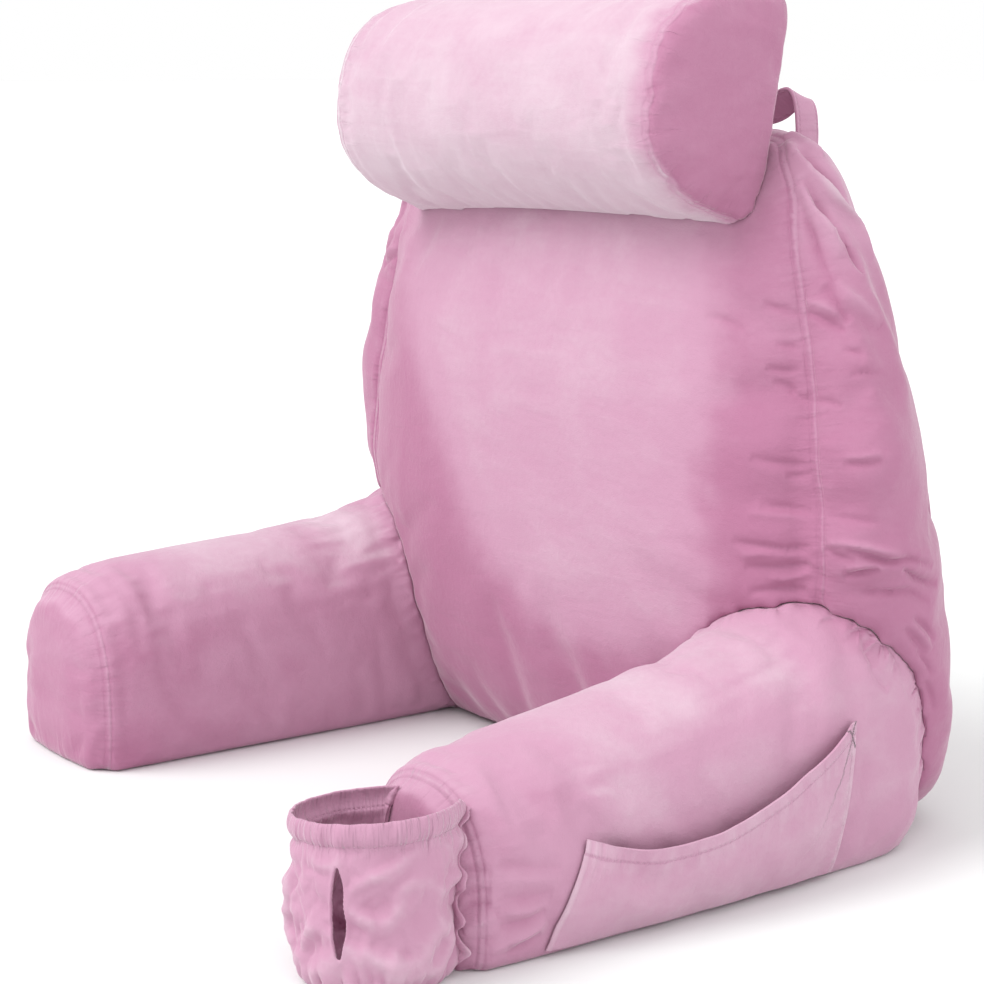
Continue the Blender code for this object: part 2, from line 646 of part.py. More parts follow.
# ---------------------------------------------------------------- assembly
def main():
    for old in list(bpy.data.objects):
        bpy.data.objects.remove(old, do_unlink=True)
    back = build_back()
    arm_right = build_arm("arm_right", ARM_RIGHT)
    arm_left = build_arm("arm_left", ARM_LEFT)
    rear_pocket = build_rear_pocket(back)
    roll = build_roll()
    handle = build_handle()
    side_pocket = build_side_pocket(arm_right)
    pouch = build_pouch()

    for piece in (rear_pocket, roll, handle):
        cut_clear(piece, back)
    cut_clear(back, arm_right)
    cut_clear(back, arm_left)
    cut_clear(side_pocket, arm_right)
    cut_clear(pouch, arm_right)
    for piece in (back, arm_right, arm_left, rear_pocket, roll, handle, side_pocket, pouch):
        piece.location = PLACE


main()
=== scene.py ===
"""Reading pillow with arms: its looks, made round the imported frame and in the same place.

The filled pieces are copied from their solids, remeshed, blown out in slack cloth that is held
along its seams, and then sewn and creased. The pockets, the pouch and the strap are sheets
laid over them. Sizes are in metres. The tables are laid out from the plane of the back
cushion's front seams, and PLACE takes them to the frame.
"""

from collections import namedtuple
from math import cos, exp, hypot, pi, radians, sin

import bmesh
import bpy
import numpy as np
from bpy.props import FloatProperty, FloatVectorProperty, IntProperty, PointerProperty
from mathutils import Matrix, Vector, noise
from mathutils.bvhtree import BVHTree
from mathutils.kdtree import KDTree


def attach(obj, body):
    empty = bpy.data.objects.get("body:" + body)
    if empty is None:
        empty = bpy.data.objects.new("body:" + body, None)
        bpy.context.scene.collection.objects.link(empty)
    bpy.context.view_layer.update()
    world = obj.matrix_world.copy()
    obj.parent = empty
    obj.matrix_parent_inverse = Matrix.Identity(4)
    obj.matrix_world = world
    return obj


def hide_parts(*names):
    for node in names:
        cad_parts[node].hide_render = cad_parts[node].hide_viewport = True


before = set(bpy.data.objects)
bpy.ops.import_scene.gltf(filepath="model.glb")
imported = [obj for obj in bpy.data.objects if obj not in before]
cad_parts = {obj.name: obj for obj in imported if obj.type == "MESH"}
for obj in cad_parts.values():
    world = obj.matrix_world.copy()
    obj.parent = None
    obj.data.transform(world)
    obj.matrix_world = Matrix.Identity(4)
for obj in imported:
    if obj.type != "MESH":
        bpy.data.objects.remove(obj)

bl_info = {
    "name": "Reading Pillow",
    "version": (1, 0, 0),
    "blender": (4, 5, 0),
    "location": "View3D > Sidebar > Reading Pillow",
    "description": "Plush covers, pockets, pouch and strap of a reading pillow with arms",
    "category": "Object",
}

# ---------------------------------------------------------------- sizes shared by the pieces
PLACE = Vector((-0.0047, 0.1290, 0.0))
FLOOR_CLEAR = 0.0002
MERGE = 1e-5
BODY = "root"
SMOOTHING = 12             # rounds that take the facets out of a remeshed solid
FOLD_LOOSE = 0.012         # a fold's route may lie this far over or under the cover
REFINE_REACH = 0.008
FOLD_PAINTED_LIGHT = 38.0           # painted light and shade: a fold's crest is painted so much lighter, and a trough darker, for each metre it rises or sinks
JUMP = 0.012               # a longer step along a seam between neighbours is its far side
PRESS_REACH = 0.018        # covers closer than this are pressed together
PRESS_GAP = 0.0003
RAY_START = 0.6            # rays start this far out, clear of the pillow

# How a cover is held while it is blown out.
HOLD_FLOOR = 0.012         # from the floor up, fading to nothing at this height
HOLD_SEAM = 0.006          # half held this far from a seam
HOLD_REACH = 0.012         # held beside the pieces that press on it, out to this far
PIN_STEPS = 10
CLOTH_QUALITY = 4
CLOTH_STIFF, CLOTH_SHEAR = 15.0, 5.0

# Seams: their noise has so many waves for each metre, along and across.
SEAM_APART = 7.0           # the lengths along two seams of a piece are kept apart by this
SEAM_WAVES = 40
PUCKER_WAVES = (55, 14)
FINE_PUCKER_WAVES = (130, 30)
BACK_SEED, ARM_SEED, ROLL_SEED = 11, 21, 31
ARM_SEWING, ROLL_SEWING = 0.5, 0.7     # how strongly they are sewn, beside the back

# The camera, fitted to the outlines in the photo, which is so many pixels across.
PHOTO = 984
SENSOR = 36.0
LENS = 87.8
CAMERA_AZIMUTH, CAMERA_ELEVATION = radians(54.0), radians(10.5)
CAMERA_DISTANCE = 1.96
CAMERA_TARGET = Vector((0.0, -0.05, 0.25)) + PLACE
CAMERA_SHIFT = (-0.0264, -0.0132)

# The back's two seams: their right halves from the bottom middle to the top middle. The front
# one is hidden by the arm, seen at these points of the photo, and then hidden by the roll.
Spot = namedtuple("Spot", "x y z")
FRONT_SEAM_FOOT = [
    Spot(0.000, 0.022, 0.000), Spot(0.110, 0.022, 0.000), Spot(0.215, 0.021, 0.000),
    Spot(0.262, 0.014, 0.024), Spot(0.282, 0.006, 0.080), Spot(0.294, 0.005, 0.140),
]
FRONT_SEAM_SEEN = [
    (820, 598), (821, 570), (820, 540), (816, 480), (814, 445), (813, 420), (811, 375), (809, 350),
    (806, 325), (801, 285), (796, 245), (793, 205), (790, 185), (786, 172), (782, 160),
]
FRONT_SEAM_TOP = [
    Spot(0.212, 0.039, 0.526), Spot(0.196, 0.043, 0.530),
    Spot(0.150, 0.040, 0.528), Spot(0.085, 0.035, 0.523), Spot(0.000, 0.033, 0.521),
]
REAR_SEAM = [
    Spot(0.000, 0.163, 0.000), Spot(0.110, 0.163, 0.000), Spot(0.212, 0.162, 0.000),
    Spot(0.264, 0.160, 0.024), Spot(0.280, 0.157, 0.080), Spot(0.280, 0.153, 0.160),
    Spot(0.268, 0.149, 0.240), Spot(0.252, 0.142, 0.318), Spot(0.236, 0.132, 0.396),
    Spot(0.217, 0.121, 0.452), Spot(0.188, 0.114, 0.492), Spot(0.142, 0.112, 0.505),
    Spot(0.070, 0.112, 0.507), Spot(0.000, 0.112, 0.507),
]

# The arms' end caps: where the cap's seam runs round the section.
Cap = namedtuple("Cap", "node y x half high")
ARM_CAPS = [
    Cap("arm_right", -0.328, 0.275, 0.067, 0.119),
    Cap("arm_left", -0.328, -0.272, 0.0755, 0.146),
]
ARM_SINK = 0.030
ARM_SQUARE, ARM_SQUARE_LOW = 2.35, 3.4

# Neck roll: a D section that leans back on the top of the cushion.
ROLL_HALF = 0.223
ROLL_TALL = 0.176
ROLL_DEEP = 0.118
ROLL_LEAN = radians(10)
ROLL_FOOT = Vector((0.0, 0.021, 0.460))
ROLL_TILT = radians(1.4)
CORNER_DROP = 0.009        # how much lower the corner hangs than in the solid
ROLL_TAPER = 0.035
ROLL_ROUND = 0.014
ROLL_SQUARE = 2.5
ROLL_CAP = 0.938           # the cap's seam, as a share of the half length
ROLL_CAP_X = ROLL_HALF * ROLL_CAP - 0.004  # where it runs, set in a little,
ROLL_WOBBLE = 0.006        # and how unevenly
ROLL_CAP_SIZE = 0.970

# Side pocket on the right arm: mouth and foot heights along the arm, and its stand-off.
Scoop = namedtuple("Scoop", "y foot_y mouth off")
SIDE_POCKET = [
    Scoop(-0.243, -0.278, 0.079, 0.000),
    Scoop(-0.224, -0.250, 0.072, 0.007),
    Scoop(-0.192, -0.208, 0.066, 0.011),
    Scoop(-0.155, -0.165, 0.067, 0.013),
    Scoop(-0.118, -0.124, 0.073, 0.013),
    Scoop(-0.082, -0.086, 0.085, 0.012),
    Scoop(-0.048, -0.052, 0.099, 0.010),
    Scoop(-0.018, -0.030, 0.113, 0.006),
    Scoop(0.001, -0.018, 0.121, 0.000),
]
POCKET_FOOT = 0.005
POCKET_OPENS = 0.625
POCKET_WIDE = 0.25
POCKET_STRIP = 0.013       # a strip this wide is turned in along its rear edge

# Rear pocket: mouth height and stand-off across the rear panel, right half.
Flap = namedtuple("Flap", "share mouth off")
REAR_POCKET = [
    Flap(0.00, 0.300, 0.0100), Flap(0.50, 0.302, 0.0100),
    Flap(0.85, 0.307, 0.0080), Flap(1.015, 0.312, 0.0065),
]
REAR_POCKET_FOOT = 0.046
REAR_POCKET_OPENS = 0.77
REAR_POCKET_WIDE = 0.56    # the length of its hem's stitches

# Strap: the right half of its centre line, sunk end to middle. Past its two legs it leans
# back by so many degrees, its front edge up.
Bend = namedtuple("Bend", "x z lean")
STRAP_BENDS = [
    Bend(0.171, 0.478, 0), Bend(0.174, 0.520, 0), Bend(0.1735, 0.540, 3), Bend(0.1705, 0.5535, 10),
    Bend(0.1635, 0.5605, 24), Bend(0.153, 0.5580, 44), Bend(0.138, 0.5500, 57),
    Bend(0.115, 0.5462, 62), Bend(0.060, 0.5455, 62), Bend(0.000, 0.5455, 62),
]
STRAP_Y = 0.100
STRAP_WIDE = 0.023
STRAP_STITCH = 0.0026      # its seams' way in from the edges

# Round pouch from its rim down and in under: height and share of the plan.
Gather = namedtuple("Gather", "z reach")
POUCH_ROWS = [
    Gather(0.1140, 0.970), Gather(0.1100, 1.000), Gather(0.1040, 1.000),
    Gather(0.0990, 0.955), Gather(0.0870, 1.000), Gather(0.0680, 1.010),
    Gather(0.0480, 1.000), Gather(0.0280, 0.985), Gather(0.0110, 0.940),
    Gather(0.0010, 0.830), Gather(0.0010, 0.450), Gather(0.0010, 0.040),
]
POUCH_X, POUCH_Y = 0.293, -0.378
POUCH_R = 0.0535
POUCH_WRAP = radians(55)
POUCH_TILT = 0.12
POUCH_ACROSS, POUCH_DOWN = 156, 56      # columns and rows of its cloth
CRUMPLE = 0.0060           # height of the crumples in its slack wall
CRUMPLE_SCALE = 28.0
# painted light and shade: the crumples' crests are painted lighter and their hollows darker, so much for
# each metre
CRUMPLE_PAINTED_LIGHT = 34.0
CRUMPLE_SEED = 2           # the crumples wander in the same way each time
CASING_FOOT = 0.1000       # where the elastic casing is stitched
WALL_FADE = 0.012          # the slack wall starts and ends over this height
GATHERS = 9.0              # gathers for each radian
FLANGE = 0.0140            # the ruffled edge where it is sewn to the arm
FLANGE_RUFFLE = 0.0065
FLANGE_COLUMNS = 7
EDGE_CLEAR = 0.0010
EDGE_FROM, EDGE_STEP = radians(60), radians(1)     # where its sewn edge is looked for
EDGE_EVEN = 4              # it is evened out over so many rows on both sides
SLIT_TURN = radians(-58)
SLIT_LOW, SLIT_HIGH = 0.026, 0.086
SLIT_HALF = 0.0042
SLIT_SEAM = 0.0003
SLIT_HEM = 0.011           # the hems keep the cloth flat this far beside it
SLIT_SHARE = 0.34          # its place across the pouch's cloth

# The painted light patch on the front panel, partly brushed nap: its left edge at some heights, and its
# right edge.
LIGHT_HEIGHTS = (0.12, 0.20, 0.28, 0.36, 0.45)
LIGHT_LEFT = (0.02, -0.06, -0.12, -0.17, -0.20)
LIGHT_RIGHT = 0.20

# Folds pressed into a cover: the rise of a crest, or with a minus the depth of a trough, its
# half width, and the points of the photo that it runs through.
Fold = namedtuple("Fold", "rise width seen")
BACK_FOLDS = [
    # crests and troughs that fan out from the top corner
    Fold(0.0058, 0.0042, [(784, 141), (793, 150), (805, 163), (816, 176), (826, 187), (835, 199),
        (845, 211), (855, 225), (864, 243), (872, 262)]),
    Fold(-0.0050, 0.0052, [(797, 148), (812, 160), (826, 174), (838, 190), (848, 207)]),
    Fold(0.0040, 0.0045, [(790, 134), (808, 144), (824, 156)]),
    Fold(0.0046, 0.0055, [(800, 180), (808, 196), (816, 211), (825, 223), (834, 240), (842, 258)]),
    Fold(-0.0046, 0.0045, [(803, 176), (811, 190), (819, 202), (828, 214), (837, 226)]),
    Fold(-0.0030, 0.0040, [(836, 220), (848, 240), (858, 258), (866, 274)]),
    Fold(-0.0034, 0.0060, [(795, 190), (803, 212), (812, 235), (822, 262), (834, 290)]),
    Fold(0.0030, 0.0060, [(838, 280), (851, 297), (866, 312), (880, 326)]),
    Fold(-0.0026, 0.0050, [(822, 285), (838, 305), (852, 322)]),
    Fold(0.0022, 0.0030, [(806, 301), (824, 306), (843, 318)]),
    Fold(-0.0026, 0.0030, [(808, 312), (826, 321), (845, 330)]),
    # wrinkles across the side band
    Fold(0.0026, 0.0028, [(824, 543), (846, 544), (868, 548), (888, 553), (908, 558)]),
    Fold(-0.0036, 0.0030, [(846, 550), (868, 556), (890, 562), (914, 560), (932, 566)]),
    Fold(-0.0030, 0.0028, [(842, 577), (860, 573), (880, 569)]),
    Fold(0.0020, 0.0028, [(846, 570), (866, 566), (890, 569)]),
    Fold(-0.0032, 0.0026, [(905, 570), (918, 579), (936, 584)]),
    Fold(-0.0030, 0.0028, [(860, 592), (885, 592), (910, 592), (930, 601)]),
    Fold(-0.0020, 0.0030, [(843, 464), (863, 464), (884, 461)]),
    Fold(0.0014, 0.0030, [(843, 458), (866, 457), (884, 454)]),
    Fold(-0.0018, 0.0028, [(824, 548), (838, 557), (856, 561)]),
    Fold(-0.0014, 0.0024, [(850, 375), (866, 373), (880, 372)]),
    Fold(-0.0014, 0.0024, [(842, 349), (856, 351), (866, 352)]),
    Fold(-0.0015, 0.0026, [(826, 515), (850, 519), (880, 522)]),
    # wrinkles on the front panel beside the seam
    Fold(-0.0026, 0.0034, [(732, 541), (760, 546), (790, 548), (812, 548)]),
    Fold(0.0016, 0.0034, [(740, 556), (765, 553), (800, 556)]),
    Fold(0.0022, 0.0030, [(768, 578), (792, 576), (814, 573)]),
    Fold(-0.0024, 0.0034, [(745, 567), (780, 568), (812, 565)]),
    Fold(-0.0026, 0.0034, [(748, 592), (780, 590), (808, 590)]),
    Fold(-0.0020, 0.0034, [(760, 506), (790, 508), (812, 512)]),
    Fold(0.0014, 0.0034, [(745, 513), (780, 516), (808, 518)]),
    Fold(-0.0020, 0.0032, [(750, 458), (780, 463), (808, 466)]),
    Fold(-0.0016, 0.0026, [(786, 477), (800, 475), (812, 475)]),
    Fold(-0.0020, 0.0028, [(772, 382), (788, 387), (800, 397), (814, 399)]),
    Fold(-0.0016, 0.0026, [(816, 401), (830, 402), (842, 407)]),
    Fold(-0.0018, 0.0032, [(762, 304), (780, 309), (800, 314)]),
    Fold(-0.0014, 0.0032, [(708, 316), (728, 321), (746, 331)]),
    Fold(-0.0018, 0.0030, [(765, 368), (785, 371), (802, 367)]),
    Fold(-0.0014, 0.0030, [(775, 345), (790, 346), (800, 350)]),
    # puckers beside the arm's root
    Fold(-0.0024, 0.0028, [(914, 618), (925, 626), (935, 640)]),
    Fold(-0.0022, 0.0028, [(904, 628), (916, 640), (927, 654)]),
    Fold(0.0016, 0.0026, [(910, 622), (921, 634), (932, 650)]),
    Fold(-0.0020, 0.0026, [(917, 650), (926, 662), (933, 676)]),
    Fold(-0.0016, 0.0026, [(926, 682), (932, 696), (935, 712)]),
]
ARM_FOLDS = [
    # folds that the side pocket drags out of the arm
    Fold(-0.0020, 0.0055, [(498, 866), (525, 867), (562, 868)]),
    Fold(-0.0014, 0.0058, [(498, 900), (525, 898), (552, 893)]),
    Fold(0.0018, 0.0050, [(498, 913), (525, 911), (550, 903)]),
    Fold(-0.0020, 0.0046, [(500, 927), (525, 921), (546, 910)]),
    Fold(0.0024, 0.0046, [(490, 952), (510, 943), (530, 933), (548, 920)]),
    Fold(-0.0022, 0.0046, [(505, 953), (522, 945), (540, 932)]),
    Fold(0.0014, 0.0055, [(490, 880), (520, 880), (556, 880)]),
    # creases where the arm is sewn to the back
    Fold(-0.0014, 0.0030, [(858, 636), (866, 652), (874, 668)]),
    Fold(-0.0016, 0.0028, [(880, 645), (892, 662), (902, 680)]),
    Fold(-0.0012, 0.0030, [(868, 664), (876, 678), (888, 690)]),
    Fold(-0.0013, 0.0026, [(905, 668), (912, 684), (918, 700)]),
    # creases beside the end cap
    Fold(-0.0018, 0.0035, [(458, 872), (475, 871), (492, 872)]),
    Fold(-0.0018, 0.0035, [(456, 893), (475, 890), (492, 890)]),
    Fold(-0.0022, 0.0040, [(458, 912), (475, 905), (492, 903)]),
    Fold(0.0024, 0.0045, [(462, 930), (480, 922), (496, 915)]),
]
FOLD_DEPTH = 1.6           # all the folds, deepened by this
LEFT_SHARE = 0.7           # the left side's pleats are softer
BACK_PLEATS = 11           # so many of the back's folds are pleats, made on both sides


# ---------------------------------------------------------------- small helpers
def smooth_row(rows, at):
    """One row of a table, read between its rows by a Catmull-Rom curve."""
    last = len(rows) - 1
    at = min(max(at, 0.0), last)
    i = min(int(at), last - 1)
    t = at - i
    near = (rows[max(i - 1, 0)], rows[i], rows[i + 1], rows[min(i + 2, last)])
    weights = (
        (-t + 2 * t**2 - t**3) / 2,
        (2 - 5 * t**2 + 3 * t**3) / 2,
        (t + 4 * t**2 - 3 * t**3) / 2,
        (t**3 - t**2) / 2,
    )
    return type(near[1])(*(sum(w * p[k] for w, p in zip(weights, near)) for k in range(len(near[1]))))


def finer(rows, count):
    """A table read so many times from each row to the next."""
    return [smooth_row(rows, k / count) for k in range(count * (len(rows) - 1) + 1)]


def power(value, exponent):
    """A signed power, for superellipses."""
    return (1 if value >= 0 else -1) * abs(value) ** exponent


def bell(value, width):
    """1 at zero, falling away over the width, for many values."""
    return np.exp(-((value / width) ** 2))


def hump(value, width):
    """The same for one value."""
    return exp(-((value / width) ** 2))


def ease(value, low, high):
    """0 below low, 1 above high, and smooth between them."""
    t = np.clip((value - low) / (high - low), 0.0, 1.0)
    return t * t * (3 - 2 * t)


def numbers_of(items, key, width, kind):
    """A row of numbers for each item."""
    flat = np.empty(len(items) * width, kind)
    items.foreach_get(key, flat)
    return flat.reshape(-1, width)


def points_of(mesh):
    return numbers_of(mesh.vertices, "co", 3, np.float32).astype(float)


def normals_of(mesh):
    return numbers_of(mesh.vertex_normals, "vector", 3, np.float32).astype(float)


def edges_of(mesh):
    return numbers_of(mesh.edges, "vertices", 2, np.int32)


def set_points(mesh, points):
    points[:, 2] = np.maximum(points[:, 2], FLOOR_CLEAR)
    mesh.vertices.foreach_set("co", points.astype(np.float32).ravel())
    mesh.update()


def set_mark(mesh, name, values):
    """Store one number for each point, for the plush to read."""
    mark = mesh.attributes.get(name) or mesh.attributes.new(name, "FLOAT", "POINT")
    mark.data.foreach_set("value", np.asarray(values, np.float32))


def neighbour_mean(values, edges):
    count = np.maximum(np.bincount(edges.ravel(), minlength=len(values)), 1)
    total = np.empty_like(values)
    for axis in range(values.shape[1]):
        total[:, axis] = np.bincount(edges[:, 0], values[edges[:, 1], axis], len(values))
        total[:, axis] += np.bincount(edges[:, 1], values[edges[:, 0], axis], len(values))
    return total / count[:, None]


def averaged(values, edges, rounds):
    """The values, each drawn towards its neighbours' mean again and again."""
    for _ in range(rounds):
        values = 0.5 * values + 0.5 * neighbour_mean(values, edges)
    return values


def calmed(values, edges, step, rounds):
    """0 where the values jump by more than the step along an edge, rising to 1 around there."""
    calm = np.ones((len(values), 1))
    jump = np.abs(values[edges[:, 0]] - values[edges[:, 1]]) > step
    calm[edges[jump].ravel()] = 0.0
    for _ in range(rounds):
        calm = np.minimum(calm, neighbour_mean(calm, edges))
    return calm[:, 0]


def relaxed(points, edges, rounds):
    """The points without facets and steps: smoothed, and swollen back each time."""
    for _ in range(rounds):
        for pull in (0.50, -0.52):
            points = points + pull * (neighbour_mean(points, edges) - points)
    return points


def wander(across, along=0.0, seed=0.0):
    """Smooth noise from about -1 to 1, its waves about one unit long."""
    across, along = np.broadcast_arrays(np.asarray(across, float), along)
    return np.array([noise.noise((a, b, seed * 3.7)) for a, b in zip(across, along)]) * 1.6


def piece_from(bm, name):
    mesh = bpy.data.meshes.new(name)
    bm.to_mesh(mesh)
    bm.free()
    mesh.shade_smooth()
    piece = bpy.data.objects.new(name, mesh)
    bpy.context.collection.objects.link(piece)
    return piece


def apply_modifiers(piece):
    graph = bpy.context.evaluated_depsgraph_get()
    mesh = bpy.data.meshes.new_from_object(piece.evaluated_get(graph))
    piece.modifiers.clear()
    piece.data = mesh
    mesh.shade_smooth()


def subdivide(piece, levels=1):
    smooth = piece.modifiers.new("smooth", "SUBSURF")
    smooth.levels = smooth.render_levels = levels
    apply_modifiers(piece)


def thicken(piece, thickness, offset):
    solid = piece.modifiers.new("cloth", "SOLIDIFY")
    solid.thickness = thickness
    solid.offset = offset
    apply_modifiers(piece)


def skin_of(mesh):
    """A mesh's surface, for laying cloth on it."""
    bm = bmesh.new()
    bm.from_mesh(mesh)
    tree = BVHTree.FromBMesh(bm)
    bm.free()
    return tree


def direction(azimuth, elevation):
    return Vector((sin(azimuth) * cos(elevation), -cos(azimuth) * cos(elevation), sin(elevation)))


def seen_on(solid, pixels):
    """Where the camera sees these points of the photo on a solid's surface."""
    back = direction(CAMERA_AZIMUTH, CAMERA_ELEVATION)
    right = Vector((cos(CAMERA_AZIMUTH), sin(CAMERA_AZIMUTH), 0.0))
    up = back.cross(right)
    eye = CAMERA_TARGET + back * CAMERA_DISTANCE
    spots = []
    for x, y in pixels:
        across = (x / PHOTO - 0.5 + CAMERA_SHIFT[0]) * SENSOR
        rise = (0.5 - y / PHOTO + CAMERA_SHIFT[1]) * SENSOR
        spot = solid.ray_cast(eye, right * across + up * rise - back * LENS)[0]
        spots.append(Spot(*(spot - PLACE)))
    return spots


def touching(points, nodes, reach):
    """1 where a point touches one of the nodes, down to 0 at the reach from them."""
    close = np.zeros(len(points))
    for tree in [skin_of(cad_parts[node].data) for node in nodes]:
        for i, point in enumerate(points.tolist()):
            away = tree.find_nearest(point, reach)[3]
            if away is not None:
                close[i] = max(close[i], 1 - away / reach)
    return close


def nestle(piece, name, draw):
    """Keep the piece clear of a finished piece, and with a draw pull its edge up against it.

    Returns how far each point ends from that piece."""
    tree = skin_of(bpy.data.objects[name].data)
    points, edges = points_of(piece.data), edges_of(piece.data)
    heights = np.full(len(points), PRESS_REACH)
    for last in (False, True):
        moves = np.zeros_like(points)
        for i, point in enumerate(points.tolist()):
            spot, normal, _, away = tree.find_nearest(point, PRESS_REACH)
            if away is None:
                continue
            height = (Vector(point) - spot).dot(normal)
            wanted = max(height, PRESS_GAP)
            if height > PRESS_GAP and not last:
                wanted = PRESS_GAP + (height - PRESS_GAP) * (height / PRESS_REACH) ** draw
            moves[i] = normal * (wanted - height)
            heights[i] = wanted
        points += moves if last else averaged(moves, edges, 2)
    set_points(piece.data, points)
    return heights


def refine(piece, folds):
    """Divide the faces round the folds once more, so that their crests come out crisp."""
    bm = bmesh.new()
    bm.from_mesh(piece.data)
    tree = KDTree(sum(len(way) for _, _, way in folds))
    for i, (spot, width) in enumerate((spot, width) for _, width, way in folds for spot in way):
        tree.insert(spot, i)
    tree.balance()
    near = {v for v in bm.verts if tree.find(v.co)[2] < REFINE_REACH}
    edges = {edge for face in bm.faces if any(v in near for v in face.verts) for edge in face.edges}
    bmesh.ops.subdivide_edges(bm, edges=list(edges), cuts=1, use_grid_fill=True)
    bm.to_mesh(piece.data)
    bm.free()
    piece.data.shade_smooth()


def press(piece, folds):
    """Press crests and troughs into a cover, and return how far each point rose."""
    mesh = piece.data
    points, normals = points_of(mesh), normals_of(mesh)
    move = np.zeros(len(points))
    for rise, width, way in folds:
        pad = 3 * width + FOLD_LOOSE
        box = np.all((points > way.min(axis=0) - pad) & (points < way.max(axis=0) + pad), axis=1)
        near = np.flatnonzero(box)
        gap = points[near][:, None, :] - way[None, :, :]
        found = np.argmin(np.einsum("ijk,ijk->ij", gap, gap), axis=1)
        gap = gap[np.arange(len(near)), found]
        over = np.einsum("ij,ij->i", gap, normals[near])
        away = np.linalg.norm(gap - over[:, None] * normals[near], axis=1)
        taper = np.sin(pi * found / (len(way) - 1)) ** 0.7
        move[near] += rise * taper * np.exp(-((away / width) ** 1.5)) * (np.abs(over) < FOLD_LOOSE)
    set_points(mesh, points + normals * move[:, None])
    return move


def traced(folds, solid, side=1, share=1.0):
    """The folds' heights, widths and ways, each way a fine row of spots on the solid.

    Side -1 mirrors them to the left."""
    ready = []
    for fold in folds:
        spots = np.array(finer(seen_on(solid, fold.seen), 12)) * (side, 1, 1) + np.array(PLACE)
        ready.append((fold.rise * FOLD_DEPTH * share, fold.width, spots))
    return ready


class Line:
    """A seam's route, and where points lie beside it."""

    STEP = 0.001
    LOOSE = 0.008              # the route may lie this far over or under the cover

    def __init__(self, corners, closed):
        ends = corners + corners[:1] if closed else corners
        spots = []
        for a, b in zip(ends, ends[1:]):
            count = max(round((b - a).length / self.STEP), 1)
            spots += [a.lerp(b, k / count) for k in range(count)]
        self.spots = np.array(spots)
        ahead = np.roll(self.spots, -4, axis=0) - np.roll(self.spots, 4, axis=0)
        self.ahead = ahead / np.linalg.norm(ahead, axis=1)[:, None]
        self.tree = KDTree(len(spots))
        for i, spot in enumerate(spots):
            self.tree.insert(spot, i)
        self.tree.balance()

    def beside(self, points, normals):
        """Each point's way across from the seam, signed, and how far along the seam it is."""
        found = np.array([self.tree.find(p)[1] for p in points.tolist()])
        gap = points - self.spots[found]
        away = np.einsum("ij,ij->i", gap, np.cross(self.ahead[found], normals))
        far = np.linalg.norm(gap, axis=1) - self.LOOSE
        return np.copysign(np.maximum(np.abs(away), far), away), found * self.STEP


def sew(piece, lines, sewing, seed, amount=1.0):
    """Draw seams into a filled piece: a shallow groove, its two lips and the puckers beside it.

    Every point keeps its way from the nearest seam, for the plush's finer detail."""
    mesh = piece.data
    points, normals = points_of(mesh), normals_of(mesh)
    away, along = lines[0].beside(points, normals)
    for number, line in enumerate(lines[1:], 1):
        other, other_along = line.beside(points, normals)
        nearer = np.abs(other) < np.abs(away)
        away = np.where(nearer, other, away)
        along = np.where(nearer, other_along + number * SEAM_APART, along)
    beyond = np.abs(away)
    calm = calmed(along, edges_of(mesh), JUMP, 10)
    move = np.zeros(len(points))
    near = beyond < 5 * sewing.pucker_reach
    here, there = beyond[near], along[near]
    uneven = wander(there * SEAM_WAVES, 0.0, seed)
    width = sewing.width
    move[near] = -sewing.depth * (1 + 0.3 * uneven) * bell(here, width)
    move[near] += sewing.lip * (1 + 0.5 * uneven) * bell(here - 2.0 * width, 1.2 * width)
    puckers = wander(there * PUCKER_WAVES[0] + 0.5 * uneven, here * PUCKER_WAVES[1], seed + 1)
    puckers += 0.5 * wander(there * FINE_PUCKER_WAVES[0], here * FINE_PUCKER_WAVES[1], seed + 2)
    fade = np.exp(-here / sewing.pucker_reach) * (1 - bell(here, width))
    move[near] += sewing.pucker * puckers * fade * (0.6 + 0.8 * uneven) * calm[near]
    set_points(mesh, points + normals * (move * amount)[:, None])
    set_mark(mesh, "away", away)
    set_mark(mesh, "along", along)
    set_mark(mesh, "calm", calm)
    return away


def closed_copy(node, name):
    """The node's solid as a piece of its own, its loose triangles merged."""
    bm = bmesh.new()
    bm.from_mesh(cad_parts[node].data)
    bmesh.ops.remove_doubles(bm, verts=bm.verts, dist=MERGE)
    return piece_from(bm, name)


def remesh(piece, voxel, rounds):
    """An even mesh over the piece, its facets and steps smoothed away."""
    grid = piece.modifiers.new("remesh", "REMESH")
    grid.mode = "VOXEL"
    grid.voxel_size = voxel
    apply_modifiers(piece)
    mesh = piece.data
    set_points(mesh, relaxed(points_of(mesh), edges_of(mesh), rounds))


def simulate(piece, held, filling):
    """How far each point moves when slack cloth, pinned where held is 1, is blown out."""
    start = points_of(piece.data)
    pins = piece.vertex_groups.new(name="held")
    steps = np.round(held * PIN_STEPS).astype(int)
    for step in range(1, PIN_STEPS + 1):
        pins.add(np.flatnonzero(steps == step).tolist(), step / PIN_STEPS, "REPLACE")
    cloth = piece.modifiers.new("cloth", "CLOTH")
    cloth.point_cache.frame_start, cloth.point_cache.frame_end = 1, filling.frames
    cloth.collision_settings.use_collision = False
    cloth.collision_settings.use_self_collision = False
    settings = cloth.settings
    settings.quality = CLOTH_QUALITY
    settings.vertex_group_mass = pins.name
    settings.use_pressure = True
    settings.uniform_pressure_force = filling.pressure
    settings.effector_weights.gravity = 0.0
    settings.tension_stiffness = settings.compression_stiffness = CLOTH_STIFF
    settings.shear_stiffness = CLOTH_SHEAR
    settings.bending_stiffness = filling.stiffness
    settings.shrink_min = -filling.slack
    for number in range(1, filling.frames + 1):
        bpy.context.scene.frame_set(number)
    blown = piece.evaluated_get(bpy.context.evaluated_depsgraph_get())
    moved = points_of(blown.to_mesh()) - start
    blown.to_mesh_clear()
    piece.modifiers.clear()
    piece.vertex_groups.clear()
    bpy.context.scene.frame_set(1)
    return moved


